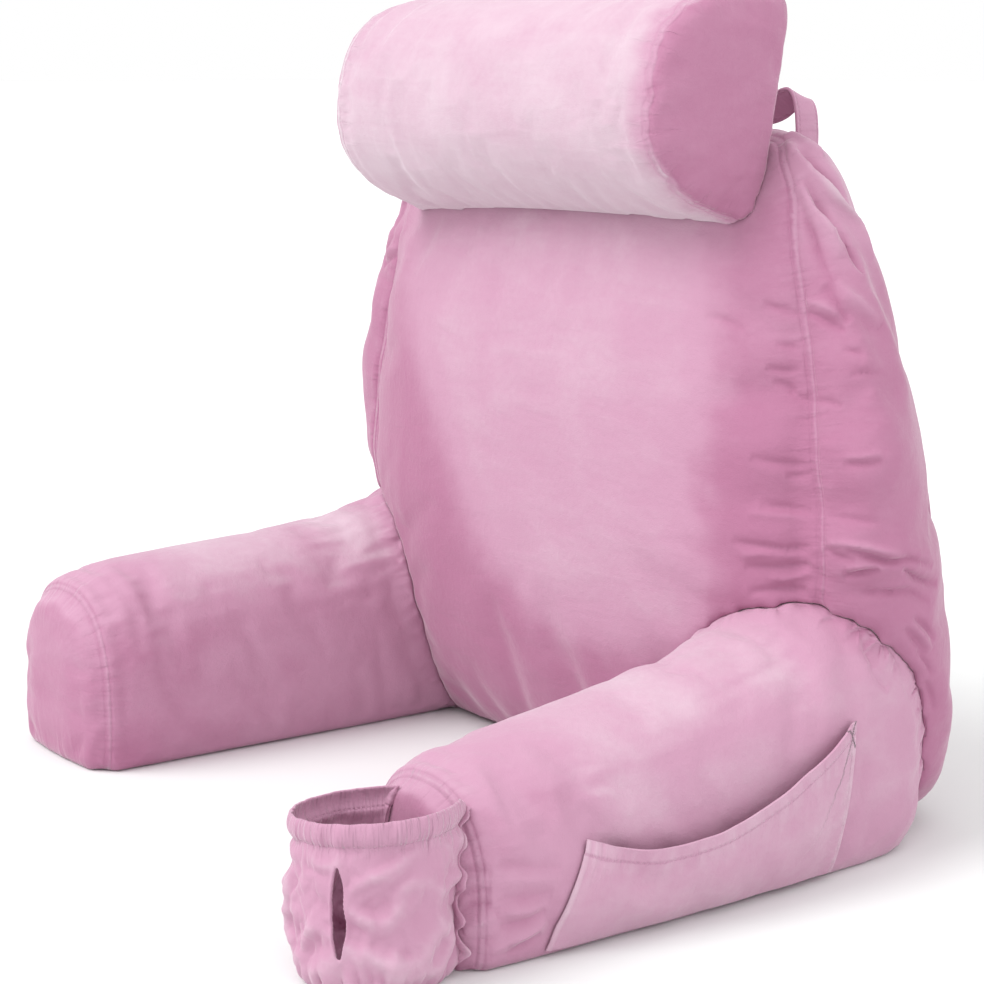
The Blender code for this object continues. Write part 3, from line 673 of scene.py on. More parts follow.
def limited(moved, cap):
    """The moves, none of them longer than the cap."""
    length = np.maximum(np.linalg.norm(moved, axis=1), 1e-9)
    return moved * (cap * np.tanh(length / cap) / length)[:, None]


def fill_out(piece, lines, pressed_on, filling):
    """Blow a filled piece's cover out between its seams, and keep the creases that it forms.

    The broad swell is mostly taken back, because the solid has the cushion's crown."""
    mesh = piece.data
    points, normals = points_of(mesh), normals_of(mesh)
    held = np.clip(1 - points[:, 2] / HOLD_FLOOR, 0.0, 1.0)
    for line in lines:
        beyond = np.abs(line.beside(points, normals)[0])
        held = np.maximum(held, np.clip(1.5 - beyond / HOLD_SEAM, 0.0, 1.0))
    held = np.maximum(held, touching(points, pressed_on, HOLD_REACH))
    moved = simulate(piece, held, filling)
    edges = edges_of(mesh)
    broad = averaged(moved, edges, filling.broad)
    moved = (averaged(moved, edges, 2) - broad) * filling.crease + broad * filling.swell
    set_points(mesh, points + limited(moved, filling.cap) * (1 - held)[:, None])


# ---------------------------------------------------------------- plush
class Shade:
    """A number in a material: arithmetic on it adds Math nodes."""

    def __init__(self, finish, socket):
        self.finish = finish
        self.socket = socket

    def maths(self, operation, *values):
        numbers = dict(enumerate(values))
        return self.finish.node("ShaderNodeMath", "Value", {"operation": operation}, numbers)

    def __add__(self, other):
        return self.maths("ADD", self, other)

    __radd__ = __add__

    def __mul__(self, other):
        return self.maths("MULTIPLY", self, other)

    __rmul__ = __mul__

    def __sub__(self, other):
        return self.maths("SUBTRACT", self, other)

    def __rsub__(self, other):
        return self.maths("SUBTRACT", other, self)

    def __abs__(self):
        return self.maths("ABSOLUTE", self)

    def bell(self, width):
        """1 at zero, falling away over the width."""
        share = self * (1 / width)
        return self.maths("EXPONENT", share * share * -1.0)

    def fading(self, reach):
        """1 at zero, falling away slowly on both sides."""
        return self.maths("EXPONENT", abs(self) * (-1 / reach))


class Finish:
    """One material and its nodes."""

    def __init__(self, name):
        self.material = bpy.data.materials.new(name)
        self.material.use_nodes = True
        self.tree = self.material.node_tree
        self.shader = self.tree.nodes["Principled BSDF"]

    def node(self, kind, output, settings=None, inputs=None):
        """Add a node: its settings first, then values or links into its sockets."""
        node = self.tree.nodes.new(kind)
        for key, value in (settings or {}).items():
            setattr(node, key, value)
        for key, value in (inputs or {}).items():
            self.feed(node.inputs[key], value)
        return Shade(self, node.outputs[output])

    def feed(self, socket, value):
        if isinstance(value, Shade):
            self.tree.links.new(value.socket, socket)
        else:
            socket.default_value = value

    def place(self, stretch=(1.0, 1.0, 1.0), turn=(0.0, 0.0, 0.0)):
        where = self.node("ShaderNodeTexCoord", "Object")
        return self.node("ShaderNodeMapping", "Vector", {"vector_type": "POINT"},
                         {"Vector": where, "Scale": stretch, "Rotation": turn})

    def beside(self, along, away):
        """A place on the unrolled cloth beside a seam."""
        return self.node("ShaderNodeCombineXYZ", "Vector", None, {"X": along, "Y": away})

    def cloud(self, where, scale, detail=2.0, roughness=0.5, distortion=0.0):
        return self.node("ShaderNodeTexNoise", "Fac", {"noise_dimensions": "3D"},
                         {"Vector": where, "Scale": scale, "Detail": detail,
                          "Roughness": roughness, "Distortion": distortion})

    def between(self, value, low, high):
        """0 below low, 1 above high, and smooth between them."""
        return self.node("ShaderNodeMapRange", "Result", {"interpolation_type": "SMOOTHSTEP"},
                         {"Value": value, "From Min": low, "From Max": high})

    def mark(self, name):
        return self.node("ShaderNodeAttribute", "Fac", {"attribute_name": name})

    def mix(self, factor, first, second):
        return self.node("ShaderNodeMix", 2, {"data_type": "RGBA"},
                         {0: factor, 6: first, 7: second})

    def raise_by(self, height, strength=1.0, normal=None):
        """Raise the surface by a height in metres."""
        inputs = {"Height": height, "Distance": 1.0, "Strength": strength}
        if normal is not None:
            inputs["Normal"] = normal
        return self.node("ShaderNodeBump", "Normal", None, inputs)


def plush(name, kind="filled"):
    """Short-pile plush: brushed patches and strokes of the nap, mottle, seams, pile and sheen.

    The nap and painted light mark lightens or darkens it, for the nap and for painted light and shade. The
    away and along marks place a point beside its seam, which is drawn as a flat seam with a painted
    highlight and painted shade on a filled piece, a hem's stitches on a sheet, and an elastic casing with
    its gathers on the pouch. Puckers and gathers get painted light and shade that follow their relief."""
    look = bpy.context.scene.reading_pillow.plush
    finish = Finish(name)
    where = finish.place()
    brushed = finish.cloud(where, look.patch_scale, 3.0, 0.55, 0.6)
    strokes = finish.cloud(finish.place((0.5, 0.8, 1.5), (0.3, 0.2, 0.5)), look.stroke_scale, 2.0, 0.5, 0.4)
    mottle = finish.cloud(where, look.mottle_scale, 3.0, 0.6)
    ribs = finish.cloud(finish.place((0.04, 0.2, 1.0)), look.rib_scale, 1.0, 0.5)
    pile = finish.cloud(where, look.pile_scale, 2.0, 0.6)

    away, along = finish.mark("away"), finish.mark("along")
    puckers = finish.cloud(finish.beside(along, away * 0.20), 120.0, 2.0, 0.5, 0.3) - 0.5
    puckers = puckers * finish.mark("calm")
    pull = away.fading(0.018)
    tone = brushed * 0.44 + strokes * 0.28 + mottle * 0.18 + ribs * 0.05 + pile * 0.05
    # The puckers are painted lighter where they rise and darker where they sink: painted light and shade.
    tone = 0.5 + (tone - 0.5) * look.mottling + finish.mark("nap") + puckers * pull * 0.30
    relief = (strokes - 0.5) * 0.0012 + puckers * pull * 0.0030

    if kind == "filled":
        # A painted highlight on the seam's ridge and painted shade in the grooves beside it.
        light, shade = (away - 0.0010).bell(0.0016), (abs(away) - 0.0032).bell(0.0012)
        tone = tone + light * 0.14 - shade * 0.05
        relief = relief + away.bell(0.0020) * 0.0005 - shade * 0.0004
    else:
        turns = finish.node("ShaderNodeMath", "Value", {"operation": "SINE"}, {0: along * (2 * pi / 0.0034)})
        drawn = away.bell(0.0009)
        tone = tone - drawn * 0.10
        relief = relief - drawn * 0.0006 + finish.between(turns, -0.2, 0.2) * away.bell(0.0006) * 0.0004
    if kind == "gathered":
        frills = finish.cloud(finish.beside(along, away * 0.10), 330.0, 1.0, 0.5) - 0.5
        drawn_in = finish.between(away, -0.014, 0.001)
        # The gathers are painted lighter where they rise and darker in their hollows: painted light and
        # shade.
        tone = tone + frills * drawn_in * 0.25
        relief = relief + frills * drawn_in * 0.0032

    low = finish.mix(finish.between(tone, 0.0, 0.5), (*look.dark, 1.0), (*look.middle, 1.0))
    colour = finish.mix(finish.between(tone, 0.5, 1.0), low, (*look.pale, 1.0))
    fine = finish.raise_by((mottle - 0.5) * 0.0006 + (pile - 0.5) * 0.0003, 0.8,
                           finish.raise_by(relief, 1.0))
    finish.feed(finish.shader.inputs["Base Color"], colour)
    finish.feed(finish.shader.inputs["Normal"], fine)
    finish.shader.inputs["Roughness"].default_value = 0.95
    finish.shader.inputs["Specular IOR Level"].default_value = 0.10
    finish.shader.inputs["Sheen Weight"].default_value = look.sheen
    finish.shader.inputs["Sheen Roughness"].default_value = look.sheen_spread
    finish.shader.inputs["Sheen Tint"].default_value = (1.0, 0.96, 0.98, 1.0)
    return finish.material


def hand_over(piece, node, material):
    """Dress a finished piece, and let it stand for its solid."""
    piece.data.materials.clear()
    piece.data.materials.append(material)
    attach(piece, BODY)
    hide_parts(node)


# ---------------------------------------------------------------- settings
class PlushSettings(bpy.types.PropertyGroup):
    # Dark and pale end the plush's tone, which carries painted shade and painted light as well as the nap.
    dark: FloatVectorProperty(
        name="Dark", description="Nap brushed away from the light", subtype="COLOR",
        size=3, min=0.0, max=1.0, default=(0.40, 0.165, 0.270))
    middle: FloatVectorProperty(
        name="Middle", description="Plush colour", subtype="COLOR",
        size=3, min=0.0, max=1.0, default=(0.50, 0.270, 0.380))
    pale: FloatVectorProperty(
        name="Pale", description="Nap brushed towards the light", subtype="COLOR",
        size=3, min=0.0, max=1.0, default=(0.62, 0.500, 0.560))
    mottling: FloatProperty(
        name="Mottling", description="Contrast of the brushed patches", min=0.0, default=0.52)
    sheen: FloatProperty(
        name="Sheen", description="Glow of the pile's tips", subtype="FACTOR",
        min=0.0, max=1.0, default=0.45)
    sheen_spread: FloatProperty(
        name="Sheen spread", description="How far round the glow reaches", subtype="FACTOR",
        min=0.0, max=1.0, default=0.35)
    patch_scale: FloatProperty(
        name="Patches", description="Brushed patches for each metre", min=1.0, default=9.0)
    stroke_scale: FloatProperty(
        name="Strokes", description="Strokes of the nap for each metre", min=1.0, default=30.0)
    mottle_scale: FloatProperty(
        name="Mottle", description="Mottling for each metre", min=1.0, default=160.0)
    rib_scale: FloatProperty(
        name="Ribs", description="Fine ribs of the knit for each metre", min=1.0, default=420.0)
    pile_scale: FloatProperty(
        name="Pile", description="Tufts of pile for each metre", min=1.0, default=1100.0)


class FillingSettings(bpy.types.PropertyGroup):
    frames: IntProperty(
        name="Frames", description="Frames that the cloth is blown out for", min=2, default=20)
    pressure: FloatProperty(
        name="Pressure", description="Push of the filling on its cover", min=0.0, default=4.0)
    stiffness: FloatProperty(
        name="Stiffness", description="The plush's stiffness in bending", min=0.0, default=0.8)
    slack: FloatProperty(
        name="Slack", description="Spare cloth in the cover", subtype="FACTOR",
        min=0.0, max=0.2, default=0.05)
    crease: FloatProperty(
        name="Creases", description="How much of the cloth's creasing is kept", min=0.0, default=0.7)
    swell: FloatProperty(
        name="Swell", description="How much of the cloth's broad swell is kept", min=0.0, default=0.08)
    broad: IntProperty(
        name="Broad", description="Rounds of averaging that tell swell from creases", min=1, default=50)
    cap: FloatProperty(
        name="Cap", description="The furthest that the cloth may move", unit="LENGTH",
        min=0.0, default=0.010)
    back_voxel: FloatProperty(
        name="Back mesh", description="Mesh size of the back", unit="LENGTH", min=0.004, default=0.0075)
    arm_voxel: FloatProperty(
        name="Arm mesh", description="Mesh size of arms and neck roll", unit="LENGTH",
        min=0.004, default=0.0046)


class SewingSettings(bpy.types.PropertyGroup):
    depth: FloatProperty(
        name="Seam depth", description="How far a seam is drawn in", unit="LENGTH", default=0.0011)
    width: FloatProperty(
        name="Seam width", description="Half width of a seam's groove", unit="LENGTH", default=0.0045)
    lip: FloatProperty(
        name="Lip", description="Rise of the cloth beside a seam", unit="LENGTH", default=0.0006)
    pucker: FloatProperty(
        name="Pucker", description="Rise of the puckers beside a seam", unit="LENGTH", default=0.0013)
    pucker_reach: FloatProperty(
        name="Pucker reach", description="How far out the puckers die away", unit="LENGTH",
        default=0.022)
    hem: FloatProperty(
        name="Hem", description="Depth of the turned hem at a pocket's mouth", unit="LENGTH",
        default=0.010)
    cloth: FloatProperty(
        name="Cloth", description="Thickness of one layer of plush", unit="LENGTH", default=0.0022)


class StageSettings(bpy.types.PropertyGroup):
    azimuth: FloatProperty(
        name="Azimuth", description="Where the camera stands, from the pillow's front",
        subtype="ANGLE", default=CAMERA_AZIMUTH)
    elevation: FloatProperty(
        name="Elevation", description="The camera's height above the horizon",
        subtype="ANGLE", default=CAMERA_ELEVATION)
    distance: FloatProperty(
        name="Distance", description="From the camera to the pillow's middle", unit="LENGTH",
        default=CAMERA_DISTANCE)
    lens: FloatProperty(
        name="Lens", description="Focal length in millimetres", default=LENS)
    surround: FloatProperty(
        name="Surround", description="Brightness of the white room", min=0.0, default=0.90)
    key: FloatProperty(
        name="Key light", description="Strength of the large soft light", min=0.0, default=2.10)
    key_azimuth: FloatProperty(
        name="Key azimuth", description="Where the soft light stands", subtype="ANGLE",
        default=radians(-22.0))
    key_elevation: FloatProperty(
        name="Key elevation", description="The soft light's height", subtype="ANGLE",
        default=radians(48.0))
    key_spread: FloatProperty(
        name="Key spread", description="How wide the soft light looks", subtype="ANGLE",
        default=radians(40.0))
    fill: FloatProperty(
        name="Fill light", description="Strength of the light from the right", min=0.0, default=1.22)


class PillowSettings(bpy.types.PropertyGroup):
    plush: PointerProperty(type=PlushSettings)
    filling: PointerProperty(type=FillingSettings)
    sewing: PointerProperty(type=SewingSettings)
    stage: PointerProperty(type=StageSettings)


# ---------------------------------------------------------------- back cushion
def back_seam(rows, turned):
    """One seam all round the back's outline. Turned, its other side counts as outwards."""
    right = [Vector(spot) for spot in finer(rows, 8)]
    left = [Vector((-p.x, p.y, p.z)) for p in right[1:-1]]
    route = [p + PLACE for p in right + left[::-1]]
    return Line(route[::-1] if turned else route, closed=True)


def back_nap_and_painted_light(points, away):
    """The back's nap and painted light: a large light patch over the front panel, partly brushed nap and
    partly painted light, with painted shade round it and on the side band, less towards the top.
    """
    x, _, z = (points - np.array(PLACE)).T
    stray = 0.020 * wander(x * 10, z * 10, 9.0) + 0.006 * wander(x * 50, z * 50, 10.0)
    left = np.interp(z, LIGHT_HEIGHTS, LIGHT_LEFT)
    light = ease(x + stray - left, -0.060, 0.060) * ease(LIGHT_RIGHT - x + stray, -0.035, 0.035)
    light *= ease(z + stray, 0.10, 0.19)
    # Painted light in the patch, and painted shade round it and on the side band, lessening towards the top.
    panel = -0.48 + 0.58 * light + 0.17 * ease(z, 0.30, 0.42) * (1 - light)
    band = -0.38 + 0.33 * ease(z + stray, 0.38, 0.50)
    return np.where(away < 0, panel, band)


class PILLOW_OT_back(bpy.types.Operator):
    """Make the back cushion's plush cover, with its seams, pleats and wrinkles"""

    bl_idname = "pillow.back"
    bl_label = "Back Cushion"

    def execute(self, context):
        settings = context.scene.reading_pillow
        piece = closed_copy("back_cushion", "back_cover")
        remesh(piece, settings.filling.back_voxel, SMOOTHING)
        solid = skin_of(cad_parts["back_cushion"].data)
        front = FRONT_SEAM_FOOT + seen_on(solid, FRONT_SEAM_SEEN) + FRONT_SEAM_TOP
        seams = [back_seam(front, False), back_seam(REAR_SEAM, True)]
        fill_out(piece, seams, ("arm_left", "arm_right", "neck_roll"), settings.filling)
        subdivide(piece)
        folds = traced(BACK_FOLDS, solid)
        folds += traced(BACK_FOLDS[:BACK_PLEATS], solid, -1, LEFT_SHARE)
        refine(piece, folds)
        away = sew(piece, seams, settings.sewing, BACK_SEED)
        rise = press(piece, folds)
        set_mark(piece.data, "nap", back_nap_and_painted_light(points_of(piece.data), away) + rise * FOLD_PAINTED_LIGHT)
        hand_over(piece, "back_cushion", plush("back plush"))
        return {"FINISHED"}


# ---------------------------------------------------------------- arms
def cap_seam(cap):
    """The seam of an arm's end cap, from its middle on the floor."""
    low = -ARM_SINK
    middle, tall = (cap.high + low) / 2, (cap.high - low) / 2
    spots = []
    for k in range(90):
        turn = 2 * pi * k / 90 - pi / 2
        square = ARM_SQUARE if sin(turn) > 0 else ARM_SQUARE_LOW
        x = cap.half * power(cos(turn), 2 / square)
        z = middle + tall * power(sin(turn), 2 / square)
        spots.append(Vector((cap.x + x, cap.y, max(z, 0.0))) + PLACE)
    return Line(spots, closed=True)


class PILLOW_OT_arms(bpy.types.Operator):
    """Make the two arms' plush covers, with the seams of their end caps"""

    bl_idname = "pillow.arms"
    bl_label = "Arms"

    def execute(self, context):
        settings = context.scene.reading_pillow
        for number, cap in enumerate(ARM_CAPS):
            piece = closed_copy(cap.node, cap.node + "_cover")
            remesh(piece, settings.filling.arm_voxel, SMOOTHING)
            line = cap_seam(cap)
            fill_out(piece, [line], ("back_cushion",), settings.filling)
            subdivide(piece)
            folds = traced(ARM_FOLDS if cap.x > 0 else [], skin_of(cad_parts[cap.node].data))
            if folds:
                refine(piece, folds)
            sew(piece, [line], settings.sewing, ARM_SEED + number, ARM_SEWING)
            rise = press(piece, folds)
            root = nestle(piece, "back_cover", 1.8)
            mesh = piece.data
            points, normals = points_of(mesh), normals_of(mesh)
            _, y, z = (points - np.array(PLACE)).T
            out = normals[:, 0] * (1 if cap.x > 0 else -1)
            stray = 0.08 * wander(y * 22, z * 30, 12.0 + number)
            # Painted light on the faces turned up and out, darker towards the front end, and painted shade
            # on the root's top beside the back and in the crevice where it meets the back.
            light = -0.11 + np.maximum(0.34 * ease(normals[:, 2], 0.2, 0.9), 0.17 * ease(out, 0.2, 0.9))
            light -= 0.22 * ease(-y, 0.20, 0.31)
            light -= 0.36 * ease(y, -0.06, 0.05) * ease(normals[:, 2], 0.2, 0.8)
            light -= 0.10 * ease(PRESS_REACH - root, 0.0, PRESS_REACH)
            set_mark(mesh, "nap", light + stray + rise * FOLD_PAINTED_LIGHT)
            hand_over(piece, cap.node, plush(cap.node.replace("_", " ") + " plush"))
        return {"FINISHED"}


# ---------------------------------------------------------------- neck roll
def roll_axes():
    """The directions up and ahead in the roll's leaning section."""
    up = Vector((0.0, sin(ROLL_LEAN), cos(ROLL_LEAN)))
    ahead = Vector((0.0, -cos(ROLL_LEAN), sin(ROLL_LEAN)))
    return up, ahead


def cornered(points):
    """Draw the roll's lower rear corner down, where the covers' seams meet."""
    up, ahead = (np.array(axis) for axis in roll_axes())
    beside = points - np.array(PLACE + ROLL_FOOT)
    drop = beside[:, 0] * sin(ROLL_TILT)
    rise, reach = beside @ up - drop, beside @ ahead
    near = np.exp(-((rise / 0.024) ** 2) - ((reach - 0.004) / 0.022) ** 2)
    return points - near[:, None] * up * CORNER_DROP


def roll_seam(side):
    """The seam of one end cap round the D section, a little uneven."""
    up, ahead = roll_axes()
    middle = ROLL_FOOT + up * ROLL_TALL / 2 + ahead * ROLL_DEEP / 2
    size = ROLL_CAP_SIZE * (1 - ROLL_TAPER * side * ROLL_CAP)
    half = ROLL_TALL / 2
    outline = []
    for k in range(61):
        turn = pi * (k / 60 - 0.5)
        rise = half * power(sin(turn), 2 / ROLL_SQUARE)
        outline.append((rise, ROLL_ROUND / 2 + ROLL_DEEP * power(cos(turn), 2 / ROLL_SQUARE)))
    outline += [((half - ROLL_ROUND) * (1 - 2 * k / 20), 0.0) for k in range(21)]
    spots = []
    for k, (rise, reach) in enumerate(outline):
        x = side * (ROLL_CAP_X + ROLL_WOBBLE * noise.noise((k * 0.33, 5.0, 0.0)))
        drop = Vector((x, 0.0, x * sin(ROLL_TILT)))
        spots.append(PLACE + middle + drop + (up * rise + ahead * (reach - ROLL_DEEP / 2)) * size)
    return Line([Vector(spot) for spot in cornered(np.array(spots[::side])).tolist()], closed=True)


class PILLOW_OT_neck_roll(bpy.types.Operator):
    """Make the neck roll's plush cover, with the seams of its end caps"""

    bl_idname = "pillow.neck_roll"
    bl_label = "Neck Roll"

    def execute(self, context):
        settings = context.scene.reading_pillow
        piece = closed_copy("neck_roll", "neck_roll_cover")
        set_points(piece.data, cornered(points_of(piece.data)))
        remesh(piece, settings.filling.arm_voxel, 4)
        lines = [roll_seam(1), roll_seam(-1)]
        fill_out(piece, lines, ("back_cushion",), settings.filling)
        subdivide(piece)
        sew(piece, lines, settings.sewing, ROLL_SEED, ROLL_SEWING)
        nestle(piece, "back_cover", 0.0)
        points = points_of(piece.data)
        x = points[:, 0] - PLACE.x
        stray = 0.010 * wander(points[:, 1] * 40, points[:, 2] * 40, 33.0)
        # Painted shade on the end caps and, partly, painted light on the body, with a lighter fringe just
        # inside the caps' seams.
        body = ease(ROLL_CAP_X - x + stray * 0.5, -0.005, 0.005)
        fringe = ease(ROLL_CAP_X - x + stray, 0.0, 0.030)
        up = normals_of(piece.data)[:, 2]
        # Painted shade on the top and painted light on the underside.
        turned = 0.10 * ease(-up, 0.1, 0.8) - 0.06 * ease(up, 0.0, 0.9)
        set_mark(piece.data, "nap", -0.35 + 0.42 * body + 0.23 * fringe + turned * body)
        hand_over(piece, "neck_roll", plush("neck roll plush"))
        return {"FINISHED"}


# ---------------------------------------------------------------- sheets
# What the cloth is told at a point: how it stands off, and the marks that it keeps.
Lay = namedtuple("Lay", "lift away along nap")
HEM_RISE, HEM_STEP = 0.0008, 0.0006
DRAG_SHARE = 0.4           # the larger, the more of a pocket is dragged into folds


def hem_rise(past):
    """How far a turned hem stands up, where a point lies so far past its stitches."""
    return HEM_RISE * ease(past, -HEM_STEP, HEM_STEP)


def drags(place):
    """The soft folds that a pocket's weight drags into it."""
    return max(noise.noise(place) + DRAG_SHARE, 0.0)


def laid_sheet(name, across, up, find, lay, rounds, slit=None):
    """A sheet laid on what carries it, its faces left out where slit(u, v) says so.

    find(u, v) is the place under a point, and lay(u, v) says how far it is lifted from there,
    once the places under the sheet are smoothed as stretched cloth bridges its carrier."""
    bm = bmesh.new()
    bmesh.ops.create_grid(bm, x_segments=across, y_segments=up, size=0.5)
    shares = [(v.co.x + 0.5, v.co.y + 0.5) for v in bm.verts]
    if slit:
        middles = [(face, face.calc_center_median()) for face in bm.faces]
        gone = [face for face, middle in middles if slit(middle.x + 0.5, middle.y + 0.5)]
        bmesh.ops.delete(bm, geom=gone, context="FACES_ONLY")
    for vert, (u, v) in zip(bm.verts, shares):
        vert.co = find(u, v)
    bmesh.ops.recalc_face_normals(bm, faces=bm.faces)
    piece = piece_from(bm, name)
    mesh = piece.data
    points = averaged(points_of(mesh), edges_of(mesh), rounds) if rounds else points_of(mesh)
    told = [lay(u, v) for u, v in shares]
    set_points(mesh, points + np.array([t.lift for t in told]))
    for mark in ("away", "along", "nap"):
        set_mark(mesh, mark, [getattr(t, mark) for t in told])
    set_mark(mesh, "calm", np.ones(len(told)))
    return piece


class PILLOW_OT_side_pocket(bpy.types.Operator):
    """Lay the side pocket over the right arm, its scooped mouth standing open"""

    bl_idname = "pillow.side_pocket"
    bl_label = "Side Pocket"

    def execute(self, context):
        sewing = context.scene.reading_pillow.sewing
        surface = skin_of(bpy.data.objects["arm_right_cover"].data)
        last = len(SIDE_POCKET) - 1

        def find(u, v):
            row = smooth_row(SIDE_POCKET, u * last)
            y = row.foot_y + (row.y - row.foot_y) * v + PLACE.y
            z = POCKET_FOOT + (row.mouth - POCKET_FOOT) * v
            return surface.ray_cast((RAY_START, y, z), (-1.0, 0.0, 0.0))[0]

        def lay(u, v):
            row = smooth_row(SIDE_POCKET, u * last)
            tall = row.mouth - POCKET_FOOT
            below = (1 - v) * tall
            edge, rear = min(u, 1 - u) * POCKET_WIDE, (1 - u) * POCKET_WIDE
            lift = 0.0006 + row.off * sin(pi / 2 * min(v / POCKET_OPENS, 1.0))
            lift += hem_rise(sewing.hem - below)
            lift += 0.0009 * hump(edge - 0.003, 0.0026) + 0.0008 * ease(0.011 - rear, 0.0, 0.001)
            drag = 0.0016 * drags((u * 10 + v * 2.2, v * 1.6 - u, 2.0)) * ease(edge, 0.0, 0.02)
            strip = rear - POCKET_STRIP
            away = below - sewing.hem
            if abs(strip) < abs(away):
                away = strip
            along = v * tall if away == strip else u * POCKET_WIDE
            # A painted highlight along the raised front edge, and paler along the turned-in rear strip.
            nap = 0.10 + 0.12 * ease(0.007 - u * POCKET_WIDE, 0.0, 0.004)
            nap += 0.09 * ease(POCKET_STRIP - rear, 0.0, 0.002)
            return Lay((lift + drag, 0.0, 0.0), away, along, nap)

        piece = laid_sheet("side_pocket_cloth", 112, 50, find, lay, 8)
        thicken(piece, sewing.cloth, 1.0)
        subdivide(piece)
        hand_over(piece, "side_pocket", plush("side pocket plush", "hemmed"))
        return {"FINISHED"}


class PILLOW_OT_rear_pocket(bpy.types.Operator):
    """Lay the rear pocket over the back's rear panel"""

    bl_idname = "pillow.rear_pocket"
    bl_label = "Rear Pocket"

    def execute(self, context):
        sewing = context.scene.reading_pillow.sewing
        surface = skin_of(bpy.data.objects["back_cover"].data)
        rows = [flap._replace(share=-flap.share) for flap in REAR_POCKET[:0:-1]] + REAR_POCKET
        edge = [row for row in REAR_SEAM if 0.0 < row.z < 0.4]
        heights, halves = [row.z for row in edge], [row.x for row in edge]
        hem = 2 * sewing.hem

        def find(u, v):
            row = smooth_row(rows, u * (len(rows) - 1))
            z = REAR_POCKET_FOOT + (row.mouth - REAR_POCKET_FOOT) * v
            flare = 1 + max(abs(row.share) - 1, 0.0) * v
            x = min(max(row.share, -1.0), 1.0) * flare * float(np.interp(z, heights, halves)) + PLACE.x
            return surface.ray_cast((x, RAY_START, z), (0.0, -1.0, 0.0))[0]

        def lay(u, v):
            row = smooth_row(rows, u * (len(rows) - 1))
            below = (1 - v) * (row.mouth - REAR_POCKET_FOOT)
            opened = min(v / REAR_POCKET_OPENS, 1.0) ** 1.5
            lift = 0.0016 + row.off * opened * (1 - abs(row.share) ** 6 * (1 - v))
            lift += hem_rise(hem - below)
            drag = 0.0020 * drags((u * 9, v * 3, 4.0)) * ease(min(u, 1 - u), 0.0, 0.06)
            return Lay((0.0, lift + drag, 0.0), below - hem, u * REAR_POCKET_WIDE, -0.05)

        piece = laid_sheet("rear_pocket_cloth", 104, 54, find, lay, 6)
        thicken(piece, sewing.cloth, 1.0)
        subdivide(piece)
        hand_over(piece, "rear_pocket", plush("rear pocket plush", "hemmed"))
        return {"FINISHED"}


class PILLOW_OT_strap(bpy.types.Operator):
    """Make the carry strap, folded from plush and sewn along both edges"""

    bl_idname = "pillow.strap"
    bl_label = "Carry Strap"

    def execute(self, context):
        sewing = context.scene.reading_pillow.sewing
        right = finer(STRAP_BENDS, 8)
        bends = right + [b._replace(x=-b.x) for b in right[-2::-1]]
        line = [Vector((b.x, STRAP_Y, b.z)) for b in bends]
        last = len(line) - 1
        ways = np.cumsum([0.0] + [(b - a).length for a, b in zip(line, line[1:])])

        def find(u, v):
            k = round(u * last)
            ahead = (line[min(k + 5, last)] - line[max(k - 5, 0)]).normalized()
            across = Vector((0.0, cos(radians(bends[k].lean)), -sin(radians(bends[k].lean))))
            across = (across - ahead * across.dot(ahead)).normalized()
            return line[k] + across * (v - 0.5) * STRAP_WIDE + PLACE

        def lay(u, v):
            edge = (0.5 - abs(v - 0.5)) * STRAP_WIDE
            return Lay((0.0, 0.0, 0.0), edge - STRAP_STITCH, float(ways[round(u * last)]), 0.05)

        piece = laid_sheet("strap_cloth", last, 18, find, lay, 0)
        thicken(piece, 1.2 * sewing.cloth, 0.0)
        subdivide(piece)
        hand_over(piece, "handle_strap", plush("strap plush", "hemmed"))
        return {"FINISHED"}


# ---------------------------------------------------------------- round pouch
def pouch_profile(count):
    """Heights and reaches evenly spaced down the pouch's wall and in under it."""
    fine = finer(POUCH_ROWS, 30)
    steps = [hypot(b.z - a.z, (b.reach - a.reach) * POUCH_R) for a, b in zip(fine, fine[1:])]
    way = np.cumsum([0.0] + steps)
    want = np.linspace(0.0, way[-1], count + 1)
    heights = np.interp(want, way, [row.z for row in fine])
    return heights, np.interp(want, way, [row.reach for row in fine])


def pouch_spot(turn, z, reach, push=0.0):
    """A place on the pouch's wall. The turn is 0 at the front and grows to the outer side."""
    out = Vector((sin(turn), -cos(turn), 0.0)) * (POUCH_R * reach + push)
    rise = z * (1 + POUCH_TILT * out.x / POUCH_ROWS[0].z)
    return Vector((POUCH_X + out.x, POUCH_Y + out.y, rise)) + PLACE


def pouch_edges(surface, heights, reaches):
    """For each row, the turns at which the wall meets the arm's end, outer side then inner."""
    found = []
    for side in (1, -1):
        turns = []
        for z, reach in zip(heights, reaches):
            turn = EDGE_FROM
            while turn < pi / 2 + POUCH_WRAP:
                spot = pouch_spot(side * turn, z, reach)
                near, normal, _, _ = surface.find_nearest(spot)
                if (spot - near).dot(normal) < EDGE_CLEAR:
                    break
                turn += EDGE_STEP
            turns.append(side * turn)
        span = 2 * EDGE_EVEN + 1
        padded = np.pad(turns, EDGE_EVEN, mode="edge")
        found.append(np.convolve(padded, np.ones(span) / span, mode="valid"))
    return found


def crumple(turn, z):
    """Height of the slack wall's crumples: narrow wandering folds between broad hollows."""
    place = Vector((turn * POUCH_R, z * 1.2, 3.0))
    strayed = (place + noise.noise_vector(place * 14) * 0.022) * CRUMPLE_SCALE
    ridges = max(1 - 3.2 * abs(noise.noise(strayed)), 0.0) ** 1.6
    minor = max(1 - 3.6 * abs(noise.noise(strayed * 1.9 + Vector((5.0, 3.0, 8.0)))), 0.0) ** 1.6
    small = max(1 - 4.0 * abs(noise.noise(strayed * 3.9 + Vector((1.0, 9.0, 4.0)))), 0.0) ** 1.4
    broad = noise.noise((turn * 1.5, z * 26, 2.0))
    return CRUMPLE * (ridges + 0.5 * minor + 0.2 * small - 0.45) + 0.0045 * broad


